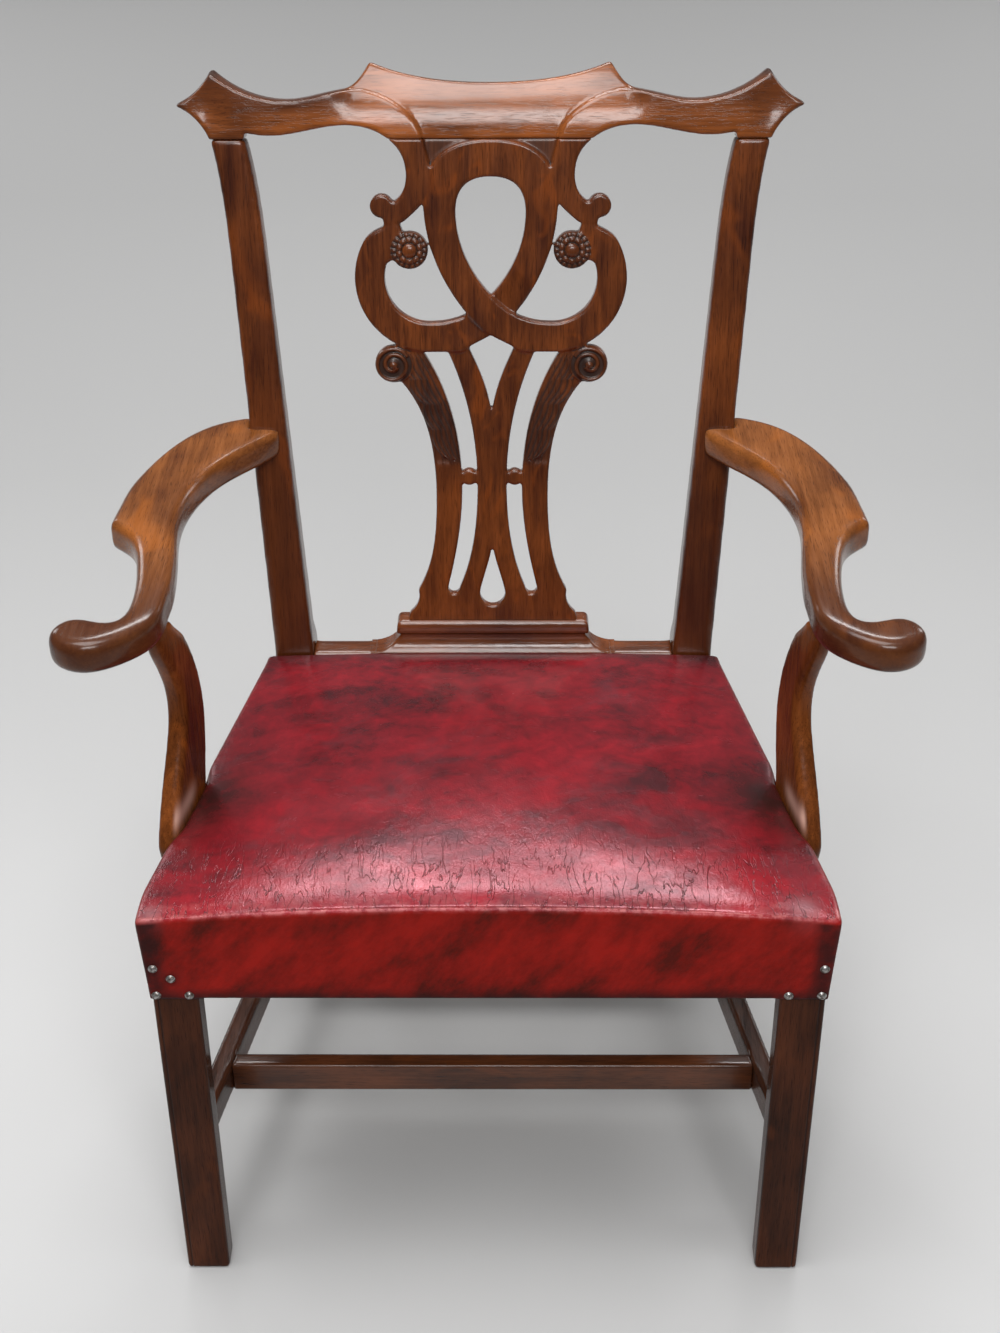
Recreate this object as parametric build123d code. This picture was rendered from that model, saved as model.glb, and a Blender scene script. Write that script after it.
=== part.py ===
from build123d import *
import math
import os

# Carved mahogany armchair with a pierced splat, scrolled arms and a nailed leather seat.
# Millimetres. +Z is up from the floor, the chair faces -Y, and X runs across it.
# While it is modelled, y = 0 is the front face of the front legs. At the end every piece is
# moved so that the origin lies under the middle of the chair's box. Left and right are as
# seen from the front.

# Seat frame
front_width = 584.0          # over the outer faces of the front legs
rear_width = 446.0           # over the outer faces of the rear legs at the seat
seat_depth = 424.0           # front of the front legs to the front of the rear legs
leg_section = 40.0           # square front leg
leg_chamfer = 13.0           # taken off the inner rear corner of a front leg
rail_top = 424.0             # top of the seat rails above the floor
rail_height = 74.0
rail_thickness = 26.0
rear_rail_rise = 6.0         # the rear rail shows this much above the other rails
rear_rail_back = 28.0        # rear rail behind the front of the rear legs
rear_rail_ledge = 14.0       # lower ledge in front of it, which takes the upholstery

# Joints
glue_gap = 0.1               # around every tenon in its mortise
tenon_thickness = 10.0
tenon_length = 20.0
tenon_shoulder = 9.0         # from the edges of a rail to its tenon
rear_tenon_length = 15.0     # the rear rail's, which stops short of the side rail's

# Stretchers
stretcher_bottom = 111.0
stretcher_height = 34.0
stretcher_thickness = 20.0
stretcher_inset = 2.0        # side stretcher in from the outer faces of the legs
stretcher_tenon = 8.0        # thickness of a stretcher's tenon
cross_stretcher_front = 125.0
cross_stretcher_thickness = 18.0
cross_stretcher_tenon = 12.0 # length of its tenons in the side stretchers
rear_stretcher_bottom = 150.0
rear_stretcher_setback = 10.0

# Rear legs and stiles
back_base = 428.0            # height at which the raked back starts
rake = 12.0                  # degrees from upright
leg_seat_depth = 48.0        # front to back at the seat
leg_foot_depth = 38.0
leg_sweep = 74.0             # the foot lies this far behind the seat
leg_sweep_belly = 25.0       # the same half way down
stile_width_seat = 40.0
stile_width_top = 32.7
stile_depth_low = 33.0
stile_depth_top = 26.0
knee_rise = 30.0             # knee on the back edge, up the raked back
back_width_top = 524.0       # over the stiles at the crest
stile_flare = 7.0            # outward flare just under the crest
stile_flare_length = 110.0
crest_joint = 513.0          # up the raked back, from its base to the crest

# Crest rail, heights up the raked back from the crest joint
crest_stub = 6.0             # from the joint to the underside beside the stile
crest_dip_top = 35.0
crest_dip_in = 78.5          # from the outer edge of the stile
crest_centre_top = 49.0
crest_bump_top = 67.0
crest_bump_out = 112.5
crest_junction_top = 43.5
crest_junction_out = 138.0
crest_arch = 12.0            # highest part of the underside
crest_arch_out = 128.0
crest_sag = 3.0              # lowest part of the underside
crest_sag_in = 25.3          # from the inner edge of the stile
ear_top = 62.0
ear_top_out = -2.0           # from the outer edge of the stile
ear_tip = 30.5
ear_tip_out = 33.0
ear_hollow = 5.0             # depth of the hollow edge between two tips
crest_roll = 95.0            # radius by which the face rolls back
crest_depth = 25.0
crest_lip = 10.0             # thickness of the rolled top edge
crest_tenon_width = 18.0
crest_tenon_thickness = 9.0
crest_tenon_length = 22.0

# Splat, heights down from the crest joint
splat_depth = 15.0
band_relief = 4.0            # bands stand this far before the recessed ground
fan_relief = 2.5             # bands stand this far before the lower ribs
splat_tongue = 14.0          # height of the tongue in the crest and of the tenon in the shoe
splat_tongue_thickness = 5.0
splat_tongue_set = 7.5       # its face lies this far behind the face of the bands
loop_outer = 62.6            # half width
loop_inner = 32.8
loop_waist_drop = 75.0
loop_band_top = 34.5         # width of the band at the top of the loop
crossing_high_drop = 146.0
crossing_low_drop = 184.5
crossing_lead = 22.0         # this far before and after the crossing, the band's lower edge lies
crossing_rise = 19.5         # so much above it
crossing_fall = 11.5         # and so much below it
scroll_out = 59.0            # centre of the large C-scrolls from the middle
scroll_drop = 129.5
scroll_outer = 71.0
scroll_inner = 42.4
scroll_outer_turn = 30.0     # degrees that their round edges run on above the centre
scroll_inner_turn = 20.0
upper_scroll_out = 95.5      # outer side of the upper scrolls at the joint
upper_scroll_in = 63.0
upper_scroll_waist_out = 79.5
upper_scroll_waist_in = 57.0
upper_scroll_waist_drop = 29.0
knob_out = 103.0
knob_drop = 61.5
knob_radius = 11.0
rosette_out = 77.2
rosette_drop = 103.0
rosette_radius = 17.5
rosette_rise = 3.0
rosette_boss = 6.5
volute_out = 94.8
volute_drop = 212.5
volute_radius = 18.0
volute_eye = 5.0
volute_rise = 2.0

# Splat's lower fan, heights up from the top of the shoe
rib_waist_out = 55.5
rib_waist_in = 30.0
rib_waist_rise = 122.0
rib_top_in_out = 66.0        # inner edge of the rib where it meets the C-scroll
stem_top_out = 42.0
stem_waist_out = 15.0
bridge_rise = 150.0
bridge_radius = 8.2
vee_out = 21.0
vee_drop = 262.5             # foot of the V opening, down from the crest joint
slot_rise = 34.5             # centre of the slots' round foot
slot_out = 39.0
slot_radius = 5.8
tear_rise = 82.0             # tip of the teardrop
tear_centre_rise = 28.5
tear_radius = 12.6
fan_notch_out = 75.0
fan_notch_rise = 32.0
fan_foot_out = 86.0

# Shoe
shoe_height = 34.0           # above the rear rail
shoe_half_width = 97.5       # over its rounded upper moulding
shoe_spread = 28.0           # further spread of its foot at each end
shoe_top_inset = 6.0         # the flat top in from the rounded moulding
shoe_torus = 14.0            # height of the rounded moulding
shoe_fillet = 3.0            # step under it
shoe_front = 2.0             # its foot before the rear legs' front
shoe_flare = 7.0             # sweep of the cove

# Arms
arm_bottom = 630.0
arm_thickness = 32.0
arm_round = 9.0
arm_end_lap = 30.0           # the end lies this far across the front of the stile
arm_end_back = 33.0          # and this far back along its outer side
arm_sweep = 48.0             # outer edge beside the stile
arm_bow_outer = 73.0         # outer edge half way, from the line between stile and support
arm_bow_back = 66.0
arm_bow_inner = 21.5         # inner edge half way
arm_spur_out = 61.0          # pointed shoulder, from the top of the support
arm_spur_back = 135.0
arm_spur_under = 19.0        # the shoulder's underside runs in this far
arm_throat_out = 26.5        # hollow under the shoulder
arm_throat_back = 65.0
arm_neck_out = 21.5          # neck behind the support's top, outward and inward of it
arm_neck_in = 10.0
arm_neck_back = 22.0
arm_hollow_out = 35.0        # hollow between the neck and the scrolled end
arm_hollow_front = 32.5
arm_palm_in = 3.5            # inner edge before the support's top
arm_knob_out = 57.0          # centre of the scrolled end
arm_knob_front = 50.5
arm_knob_radius = 24.0

# Arm supports
support_y = 150.0            # middle of the support behind the front legs' faces
support_thickness = 19.0
support_lap = 48.0           # its lower end below the rail top
support_foot_front = 42.0    # foot before and behind the middle
support_foot_back = 53.0
support_neck_front = -18.0   # hollow of the front edge
support_neck_back = 70.0
support_top_front = 24.0
support_top_back = 20.0
support_round = 6.0
support_tenon = 8.0          # thickness
support_tenon_out = 3.0      # its middle outward of the support's middle
support_tenon_width = 14.0
support_tenon_length = 16.0

# Corner blocks
block_leg = 62.0             # along each rail
block_height = 40.0
block_drop = 12.0            # below the rail tops

# Upholstery
leather = 2.0
leather_gap = 0.15           # between the leather and the legs
leather_bulge = 4.0          # outward lean of the sides, from the lower edge to the crease
crease_rise = 14.0           # crease at the front corners, above the rail tops
crease_round = 5.0
front_crown = 14.0           # the front crease rises this much in the middle
rear_crown = 4.0
middle_crown = 16.0          # further rise of the middle of the seat
rear_fall = 8.0              # the rear edge lies this much lower
seat_rear_gap = 2.5          # between the leather and the rear legs
turn_under = 14.0            # leather turned under the rails
soft_gap = 0.3
webbing_width = 50.0
webbing_thickness = 1.5
webbing_gap = 0.2
webbing_count = 4
webbing_pitch = 96.0
webbing_cross_pitch = 88.0
webbing_cross_front = 78.0
webbing_inset = 7.0          # ends of the straps from the outer faces of the rails
webbing_flat = 15.0          # a strap lies flat on the rail for this length
webbing_tack_in = 6.0        # tacks from the end of a strap
hessian_thickness = 1.0
hessian_inset = 9.0

# Nails, tacks and screws
nail_radius = 4.2
nail_rise = 2.6
nail_shank = 0.8
nail_length = 12.0
nail_edge = 4.6              # nails from the edges of the leg
nail_low = 4.5               # nails from the lower edge of the leather
nail_high = 36.0
nail_inner_high = 24.0
tack_radius = 3.0
tack_rise = 0.9
tack_shank = 0.7
tack_length = 9.0
tack_pitch = 70.0
screw_radius = 2.4
screw_head = 4.4
screw_head_rise = 2.6
screw_grip = 18.0            # length of thread in the second piece
support_screw_pitch = 34.0
hole_gap = 0.05

lean = math.radians(rake)
half_front = front_width / 2
half_rear = rear_width / 2
rail_bottom = rail_top - rail_height
leather_bottom = rail_bottom - leather
crease_height = rail_top + crease_rise
rail_slope = (half_front - half_rear) / (seat_depth - leg_section)
rail_angle = math.degrees(math.atan(rail_slope))
back_plane = Plane((0, seat_depth, back_base), x_dir=(1, 0, 0), z_dir=(0, -math.cos(lean), math.sin(lean)))
back_place = Location(back_plane)
far = 400.0                  # reach of shapes that are trimmed afterwards


def block(low, high):
    """Box between two corners."""
    size = [b - a for a, b in zip(low, high)]
    middle = [(a + b) / 2 for a, b in zip(low, high)]
    return Pos(*middle) * Box(*size)


def upright(points, low, high):
    """Prism with a plan outline between two heights."""
    return Pos(0, 0, low) * extrude(make_face(Polyline(*points, close=True)), high - low)


def side_x(y, offset=0.0):
    """Outer face of the side rails at y, or a line that lies inside it by offset."""
    return half_front - (y - leg_section) * rail_slope - offset / math.cos(math.radians(rail_angle))


def strip(inner, outer, front, back, low, high):
    """Bar along the right side rail, between two distances inside its outer face."""
    plan = [(side_x(front, outer), front), (side_x(front, inner), front),
            (side_x(back, inner), back), (side_x(back, outer), back)]
    return upright(plan, low, high)


def slab(face, low, high):
    """Prism on the raked back, between two distances before its front plane."""
    return back_place * (Pos(0, 0, low) * extrude(face, high - low))


def both(shape):
    """A right-hand piece with its mirror image, the left one first."""
    return mirror(shape, about=Plane.YZ), shape


def two_sided(shape):
    """One body made of a right half and its mirror image."""
    return shape + mirror(shape, about=Plane.YZ)


def grown(shape, amount):
    """A prism grown by an amount on all its faces, for a mortise round a tenon."""
    return offset(shape, amount, kind=Kind.INTERSECTION)


# Rear legs with their stiles

def stile_outer(up):
    """Outer edge of the stile on the raked back, without the flare under the crest."""
    return half_rear + (back_width_top / 2 - stile_flare - half_rear) * up / crest_joint


def stile_width(up):
    return stile_width_seat + (stile_width_top - stile_width_seat) * up / crest_joint


def back_point(up, depth):
    """Place (y, z) at a height up the raked back and a depth behind its front."""
    return (seat_depth + up * math.sin(lean) + depth * math.cos(lean),
            back_base + up * math.cos(lean) - depth * math.sin(lean))


def make_rear_leg():
    bend = rail_bottom - leg_section / 4
    top_front = back_point(crest_joint, 0)
    top_back = back_point(crest_joint, stile_depth_top)
    knee = back_point(knee_rise, stile_depth_low)
    front_foot = seat_depth + leg_sweep
    front_belly = seat_depth + leg_sweep_belly
    depth_belly = (leg_seat_depth + leg_foot_depth) / 2
    side = make_face([
        Polyline(top_front, (seat_depth, back_base), (seat_depth, bend)),
        ThreePointArc((seat_depth, bend), (front_belly, bend / 2), (front_foot, 0)),
        Line((front_foot, 0), (front_foot + leg_foot_depth, 0)),
        ThreePointArc((front_foot + leg_foot_depth, 0), (front_belly + depth_belly, bend / 2),
                      (seat_depth + leg_seat_depth, bend)),
        Polyline((seat_depth + leg_seat_depth, bend), (seat_depth + leg_seat_depth, back_base), knee,
                 top_back, top_front)])
    ups = [0, crest_joint - stile_flare_length, crest_joint - stile_flare_length / 2, crest_joint]
    bows = [0, 0, stile_flare / 6, stile_flare]
    outer = [(stile_outer(u) + b, back_base + u * math.cos(lean)) for u, b in zip(ups, bows)]
    inner = [(x - stile_width(u), z) for u, (x, z) in zip(ups, outer)]
    rise = (math.tan(math.atan2(outer[1][0] - outer[0][0], outer[1][1] - outer[0][1])), 1)
    inner_rise = (math.tan(math.atan2(inner[1][0] - inner[0][0], inner[1][1] - inner[0][1])), 1)
    inner_foot = half_rear - stile_width_seat
    front = make_face([
        Line((half_rear, 0), outer[0]),
        Line(outer[0], outer[1]),
        Spline(*outer[1:], tangents=[rise, (stile_flare * 2, stile_flare_length / 2)]),
        Line(outer[-1], inner[-1]),
        Spline(*reversed(inner[1:]), tangents=[(-stile_flare * 2, -stile_flare_length / 2),
                                               (-inner_rise[0], -1)]),
        Line(inner[1], inner[0]),
        Polyline(inner[0], (inner_foot, 0), (half_rear, 0))])
    front = front + Pos((outer[-1][0] + inner[-1][0]) / 2, outer[-1][1]) * Rectangle(stile_width_top, 1)
    leg = extrude(Plane.YZ * side, far) & extrude(Plane.XZ * front, far * 2, both=True)
    middle = back_width_top / 2 - stile_width_top / 2
    tenon = back_place * block(
        (middle - crest_tenon_width / 2, crest_joint - 1, -stile_depth_top / 2 - crest_tenon_thickness / 2),
        (middle + crest_tenon_width / 2, crest_joint + crest_tenon_length,
         -stile_depth_top / 2 + crest_tenon_thickness / 2))
    return leg, tenon


rear_leg, crest_tenon = make_rear_leg()


# Crest rail, drawn on the raked back as (across, up)

joint = crest_joint
stile_top_outer = back_width_top / 2
stile_top_inner = stile_top_outer - stile_width_top


def hollow(start, end, depth):
    """Arc between two points that curves to the left of the line by a depth."""
    along = Vector(*end) - Vector(*start)
    across = Vector(-along.Y, along.X).normalized() * depth
    middle = (Vector(*start) + Vector(*end)) / 2 + across
    return ThreePointArc(start, middle, end)


def crest_roll_back(up):
    """How far the face has rolled back at a height above the joint."""
    return crest_roll - math.sqrt(crest_roll ** 2 - up ** 2)


def crest_body(relief):
    """Rolled body of the crest along X, with its face set back by relief."""
    reach = crest_bump_top + crest_lip / 2
    rolled = -crest_roll_back(reach) - relief
    profile = make_face([
        Line((joint - 1, -relief), (joint, -relief)),
        ThreePointArc((joint, -relief), (joint + reach / 2, -crest_roll_back(reach / 2) - relief),
                      (joint + reach, rolled)),
        Line((joint + reach, rolled), (joint + reach, -crest_roll_back(reach) - crest_lip)),
        Spline((joint + reach, -crest_roll_back(reach) - crest_lip), (joint, -crest_depth),
               tangents=[(-1, 0.7), (-1, 0)]),
        Polyline((joint, -crest_depth), (joint - 1, -crest_depth), (joint - 1, -relief))])
    return extrude(Plane.YZ * profile, far, both=True)


def make_crest():
    centre = (0, joint + crest_centre_top)
    bump = (crest_bump_out, joint + crest_bump_top)
    junction = (crest_junction_out, joint + crest_junction_top)
    dip = (stile_top_outer - crest_dip_in, joint + crest_dip_top)
    ear = (stile_top_outer + ear_top_out, joint + ear_top)
    tip = (stile_top_outer + ear_tip_out, joint + ear_tip)
    corner = (stile_top_outer, joint)
    stub = (stile_top_inner, joint + crest_stub)
    sag = (stile_top_inner - crest_sag_in, joint + crest_sag)
    arch = (crest_arch_out, joint + crest_arch)
    band_foot = (upper_scroll_out, joint)
    field_foot = (upper_scroll_in, joint)
    top_edges = [
        Spline(centre, bump, tangents=[(1, 0), (1, 0.42)]),
        Spline(bump, junction, tangents=[(0.6, -0.8), (1, -0.15)])]
    whole = make_face(top_edges + [
        Spline(junction, dip, ear, tangents=[(1, -0.15), (0.75, 0.66)]),
        hollow(ear, tip, -ear_hollow),
        hollow(tip, corner, -ear_hollow),
        Polyline(corner, (stile_top_inner, joint), stub),
        Spline(stub, sag, arch, band_foot, tangents=[(-1, -0.25), (-0.85, -0.65)]),
        Polyline(band_foot, (0, joint), centre)])
    band_edge = ((crest_junction_out + 2 * upper_scroll_in) / 3, joint + crest_junction_top * 0.72)
    field = make_face(top_edges + [
        Spline(junction, band_edge, field_foot, tangents=[(-1, 0.1), (-0.25, -1)]),
        Polyline(field_foot, (0, joint), centre)])
    deep = -crest_depth * 3
    bands = extrude(whole - field, -deep)
    bands = (Pos(0, 0, deep) * bands) & crest_body(0)
    ground = (Pos(0, 0, deep) * extrude(field, -deep)) & crest_body(band_relief)
    return back_place * two_sided(bands + ground)


def tongue(half_width, low, high):
    """Tongue or tenon of the splat on the raked back."""
    return back_place * block((-half_width, low, -splat_tongue_set - splat_tongue_thickness),
                              (half_width, high, -splat_tongue_set))


top_tongue = tongue(upper_scroll_out - splat_tongue, joint - 1, joint + splat_tongue)
crest_rail = make_crest() - grown(top_tongue, glue_gap)
for tenon in both(crest_tenon):
    crest_rail -= grown(tenon, glue_gap)

# Splat

shoe_base = rail_top + rear_rail_rise
shoe_top = shoe_base + shoe_height
fan_base = (shoe_top - back_base) / math.cos(lean)
scroll_up = joint - scroll_drop
crossing = (0, joint - (crossing_high_drop + crossing_low_drop) / 2)


def make_ribbon():
    """Band from the top of the loop, down its left side, over the crossing and round the right C-scroll."""
    waist = joint - loop_waist_drop
    low = joint - crossing_low_drop
    c_foot_outer = (scroll_out, scroll_up - scroll_outer)
    c_foot_inner = (scroll_out, scroll_up - scroll_inner)
    middle = (scroll_out, scroll_up)
    outer_end = (knob_out - 2, (joint - knob_drop) - knob_radius * 1.7)
    outer_arc = Pos(*middle) * CenterArc((0, 0), scroll_outer, -90, 90 + scroll_outer_turn)
    inner_arc = Pos(*middle) * CenterArc((0, 0), scroll_inner, -90, 90 + scroll_inner_turn)
    rosette = (rosette_out, joint - rosette_drop)
    return make_face([
        Spline((0, joint), (-loop_outer, waist), (-crossing_lead, low + crossing_rise), (0, low),
               (crossing_lead, low - crossing_fall), c_foot_outer, tangents=[(-1, 0), (1, 0)]),
        outer_arc,
        Spline(outer_arc @ 1, outer_end, tangents=[outer_arc % 1, (-0.9, 0.45)]),
        Polyline(outer_end, (rosette_out + rosette_radius / 2, joint - rosette_drop + rosette_radius * 1.4),
                 rosette, inner_arc @ 1),
        inner_arc,
        Spline(c_foot_inner, (0, joint - crossing_high_drop), (-loop_inner, waist),
               (0, joint - loop_band_top), tangents=[(-1, 0), (1, 0)]),
        Line((0, joint - loop_band_top), (0, joint))])


def make_upper_scroll():
    knob = (knob_out, joint - knob_drop)
    notch = (knob_out - knob_radius, joint - knob_drop + knob_radius / 3)
    waist = joint - upper_scroll_waist_drop
    under = joint - knob_drop - knob_radius * 1.6
    foot = (rosette_out + rosette_radius / 3, joint - rosette_drop + rosette_radius * 1.5)
    face = make_face([
        Spline((upper_scroll_out, joint), (upper_scroll_waist_out, waist), notch,
               tangents=[(-0.85, -0.65), (0.8, -0.5)]),
        Polyline(notch, knob, (knob_out - 2, under), foot),
        Spline(foot, (loop_outer, joint - knob_drop + knob_radius / 2), (upper_scroll_waist_in, waist),
               (upper_scroll_in, joint), tangents=[(-0.75, 0.65), (0.25, 1)]),
        Line((upper_scroll_in, joint), (upper_scroll_out, joint))])
    return face + Pos(*knob) * Circle(knob_radius)


def make_fan():
    """Right half of the lower ribs and stem, with its slots."""
    volute = (volute_out, joint - volute_drop)
    under_scroll = scroll_up - (scroll_outer + scroll_inner) / 2
    rib_head = (volute_out - volute_radius / 3, volute[1] + volute_radius * 0.9)
    rib_start = (volute_out - volute_radius / 3, volute[1] - volute_radius * 0.9)
    rib_waist = (rib_waist_out, fan_base + rib_waist_rise)
    notch = (fan_notch_out, fan_base + fan_notch_rise)
    foot = (fan_foot_out, fan_base)
    body = make_face([
        Polyline((0, crossing[1]), rib_head, volute, rib_start),
        Spline(rib_start, rib_waist, notch, tangents=[(-0.66, -0.75), (0.5, -0.85)]),
        hollow(notch, (fan_foot_out - 2, fan_base + fan_notch_rise / 4), -fan_notch_rise / 8),
        Polyline((fan_foot_out - 2, fan_base + fan_notch_rise / 4), foot,
                 (fan_foot_out, fan_base - splat_depth), (0, fan_base - splat_depth), (0, crossing[1]))])
    slot_up = fan_base + slot_rise
    slot_left = (slot_out - slot_radius, slot_up)
    slot_right = (slot_out + slot_radius, slot_up)
    slot_top = scroll_up - scroll_outer
    slot = make_face([
        Spline(slot_right, (rib_waist_in, rib_waist[1]), (rib_top_in_out, slot_top),
               tangents=[(-0.25, 1), (0.55, 0.85)]),
        Polyline((rib_top_in_out, slot_top), (rib_top_in_out, under_scroll), (stem_top_out, under_scroll),
                 (stem_top_out, slot_top)),
        Spline((stem_top_out, slot_top), (stem_waist_out, rib_waist[1]), slot_left,
               tangents=[(-0.4, -0.9), (0.4, -0.9)]),
        ThreePointArc(slot_left, (slot_out, slot_up - slot_radius), slot_right)])
    vee_foot = (0, joint - vee_drop)
    vee = make_face([
        Spline(vee_foot, (vee_out, slot_top + volute_rise), tangents=[(0.12, 1), (0.42, 0.9)]),
        Polyline((vee_out, slot_top + volute_rise), (vee_out, crossing[1]), (0, crossing[1]), vee_foot)])
    tear_up = fan_base + tear_centre_rise
    tear_side = (tear_radius * 0.98, tear_up + tear_radius / 5)
    tear_turn = (tear_radius * 0.7, tear_up - tear_radius * 0.7)
    tear = make_face([
        Spline((0, fan_base + tear_rise), tear_side, tangents=[(0.1, -1), (0.2, -1)]),
        ThreePointArc(tear_side, tear_turn, (0, tear_up - tear_radius)),
        Line((0, tear_up - tear_radius), (0, fan_base + tear_rise))])
    bridge = Pos((rib_waist_in + stem_waist_out) / 2, fan_base + bridge_rise) * Circle(bridge_radius)
    return body - slot - vee - tear + bridge


def make_splat():
    over = make_ribbon()
    under = mirror(over, about=Plane.YZ)
    upper = make_upper_scroll()
    back = -splat_depth
    volute = Pos(volute_out, joint - volute_drop)
    ribs = slab(make_fan(), back, -fan_relief)
    ribs += slab(volute * Circle(volute_radius), back, -fan_relief + volute_rise)
    ribs += slab(volute * Circle(volute_eye), back, volute_rise)
    rosette = Pos(rosette_out, joint - rosette_drop)
    ribs += slab(upper, back, 0)
    ribs += slab(rosette * Circle(rosette_radius), back, rosette_rise / 3)
    ribs += slab(rosette * Circle((rosette_radius + rosette_boss) / 2), back, rosette_rise * 2 / 3)
    ribs += slab(rosette * Circle(rosette_boss), back, rosette_rise)
    waist = joint - loop_waist_drop
    meeting = joint - knob_drop + knob_radius / 2
    scroll_waist = joint - upper_scroll_waist_drop
    ground = make_face(Polyline(
        (-upper_scroll_in, joint), (upper_scroll_in, joint), (upper_scroll_waist_in, scroll_waist),
        (loop_outer, meeting), (-loop_outer, meeting), (-upper_scroll_waist_in, scroll_waist), close=True))
    ground -= Pos(0, waist) * Ellipse((loop_outer + loop_inner) / 2, loop_waist_drop - loop_band_top / 2)
    splat = two_sided(ribs) + slab(ground, back, -band_relief)
    dip_radius = scroll_outer * 0.7
    dip = back_place * (Pos(*crossing, -band_relief / 2) * Cone(0, dip_radius, band_relief))
    splat += slab(under, back, 0) - dip
    splat += slab(over, back, 0)
    splat -= block((-far, 0, 0), (far, far * 2, shoe_top))
    return splat


shoe_tenon = tongue(fan_foot_out - splat_tongue, fan_base - splat_tongue, fan_base + splat_depth)
splat = make_splat() + top_tongue + shoe_tenon

# Shoe that carries the splat on the rear rail

def moulding(top, torus, foot):
    """Half outline of the shoe, from the middle of its top round the moulded edge to its base."""
    side = 1 if foot > top else -1
    step = torus - side * shoe_fillet
    low_torus = shoe_top - shoe_torus
    cove_top = low_torus - shoe_fillet
    cove = (step + (foot - step) * 0.3, shoe_base + (cove_top - shoe_base) * 0.4)
    return [
        Spline((top, shoe_top), (torus, (shoe_top + low_torus) / 2), (torus, low_torus),
               tangents=[(side, 0), (-side * 0.2, -1)]),
        Polyline((torus, low_torus), (step, low_torus), (step, cove_top)),
        ThreePointArc((step, cove_top), cove, (foot, shoe_base + 1)),
        Line((foot, shoe_base + 1), (foot, shoe_base))]


def make_shoe():
    foot = seat_depth - shoe_front
    torus = foot + shoe_flare
    back = seat_depth + rear_rail_back
    front_outline = make_face(moulding(torus + shoe_top_inset, torus, foot) + [
        Polyline((foot, shoe_base), (back, shoe_base), (back, shoe_top), (torus + shoe_top_inset, shoe_top))])
    edge = shoe_half_width - shoe_top_inset
    spread = shoe_half_width + shoe_spread
    end_outline = make_face(moulding(edge, shoe_half_width, spread) + [
        Polyline((spread, shoe_base), (0, shoe_base), (0, shoe_top), (edge, shoe_top))])
    body = extrude(Plane.YZ * front_outline, far, both=True)
    ends = extrude(Plane.XZ * end_outline, far * 2, both=True)
    return body & two_sided(ends)


shoe = make_shoe() - grown(shoe_tenon, glue_gap)

# Seat rails and stretchers

tenon_low = rail_bottom + tenon_shoulder
tenon_high = rail_top - tenon_shoulder
rail_tenon_near = (rail_thickness - tenon_thickness) / 2
rail_tenon_far = rail_tenon_near + tenon_thickness
leg_inner = half_front - leg_section
front_tenon = block((leg_inner - 1, rail_tenon_near, tenon_low),
                    (leg_inner + tenon_length, rail_tenon_far, tenon_high))
front_seat_rail = two_sided(block((0, 0, rail_bottom), (leg_inner, rail_thickness, rail_top)) + front_tenon)

side_tenon = strip(rail_tenon_near, rail_tenon_far, leg_section - tenon_length, seat_depth + tenon_length,
                   tenon_low, tenon_high)
side_rail = strip(0, rail_thickness, leg_section, seat_depth, rail_bottom, rail_top) + side_tenon

rear_inner = half_rear - stile_width_seat
rear_back = seat_depth + rear_rail_back
rear_front = seat_depth - rear_rail_ledge
rear_tenon = block((rear_inner - 1, rear_back - rail_tenon_far, tenon_low),
                   (rear_inner + rear_tenon_length, rear_back - rail_tenon_near, tenon_high))
rear_half = block((0, rear_front, rail_bottom), (rear_inner, rear_back, rail_top))
rear_half += block((0, seat_depth, rail_top - 1), (rear_inner, rear_back, shoe_base))
rear_seat_rail = two_sided(rear_half + rear_tenon)

stretcher_top = stretcher_bottom + stretcher_height
stretcher_low = stretcher_bottom + stretcher_height / 5
stretcher_high = stretcher_top - stretcher_height / 5
stretcher_far = stretcher_inset + stretcher_thickness
side_stretcher = strip(stretcher_inset, stretcher_far, leg_section,
                       seat_depth + leg_sweep + leg_foot_depth / 2, stretcher_bottom, stretcher_top)
side_stretcher -= rear_leg
side_stretcher = side_stretcher.solids().sort_by(Axis.Y)[0]
stretcher_end = side_stretcher.bounding_box().max.Y
stretcher_near = stretcher_inset + (stretcher_thickness - stretcher_tenon) / 2
side_stretcher_tenon = strip(stretcher_near, stretcher_near + stretcher_tenon, leg_section - tenon_length,
                             stretcher_end + tenon_length, stretcher_low, stretcher_high)
side_stretcher = Part(side_stretcher.wrapped) + side_stretcher_tenon

cross_back = cross_stretcher_front + cross_stretcher_thickness
cross_near = (cross_stretcher_thickness - stretcher_tenon) / 2
cross_plan = [(0, cross_stretcher_front),
              (side_x(cross_stretcher_front, stretcher_far), cross_stretcher_front),
              (side_x(cross_back, stretcher_far), cross_back), (0, cross_back)]
cross_half = upright(cross_plan, stretcher_bottom, stretcher_top)
cross_tenon = block((0, cross_stretcher_front + cross_near, stretcher_low),
                    (side_x(cross_back, stretcher_far) + cross_stretcher_tenon,
                     cross_back - cross_near, stretcher_high))
cross_stretcher = two_sided(cross_half + cross_tenon)
side_stretcher -= grown(cross_tenon, glue_gap)

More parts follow.
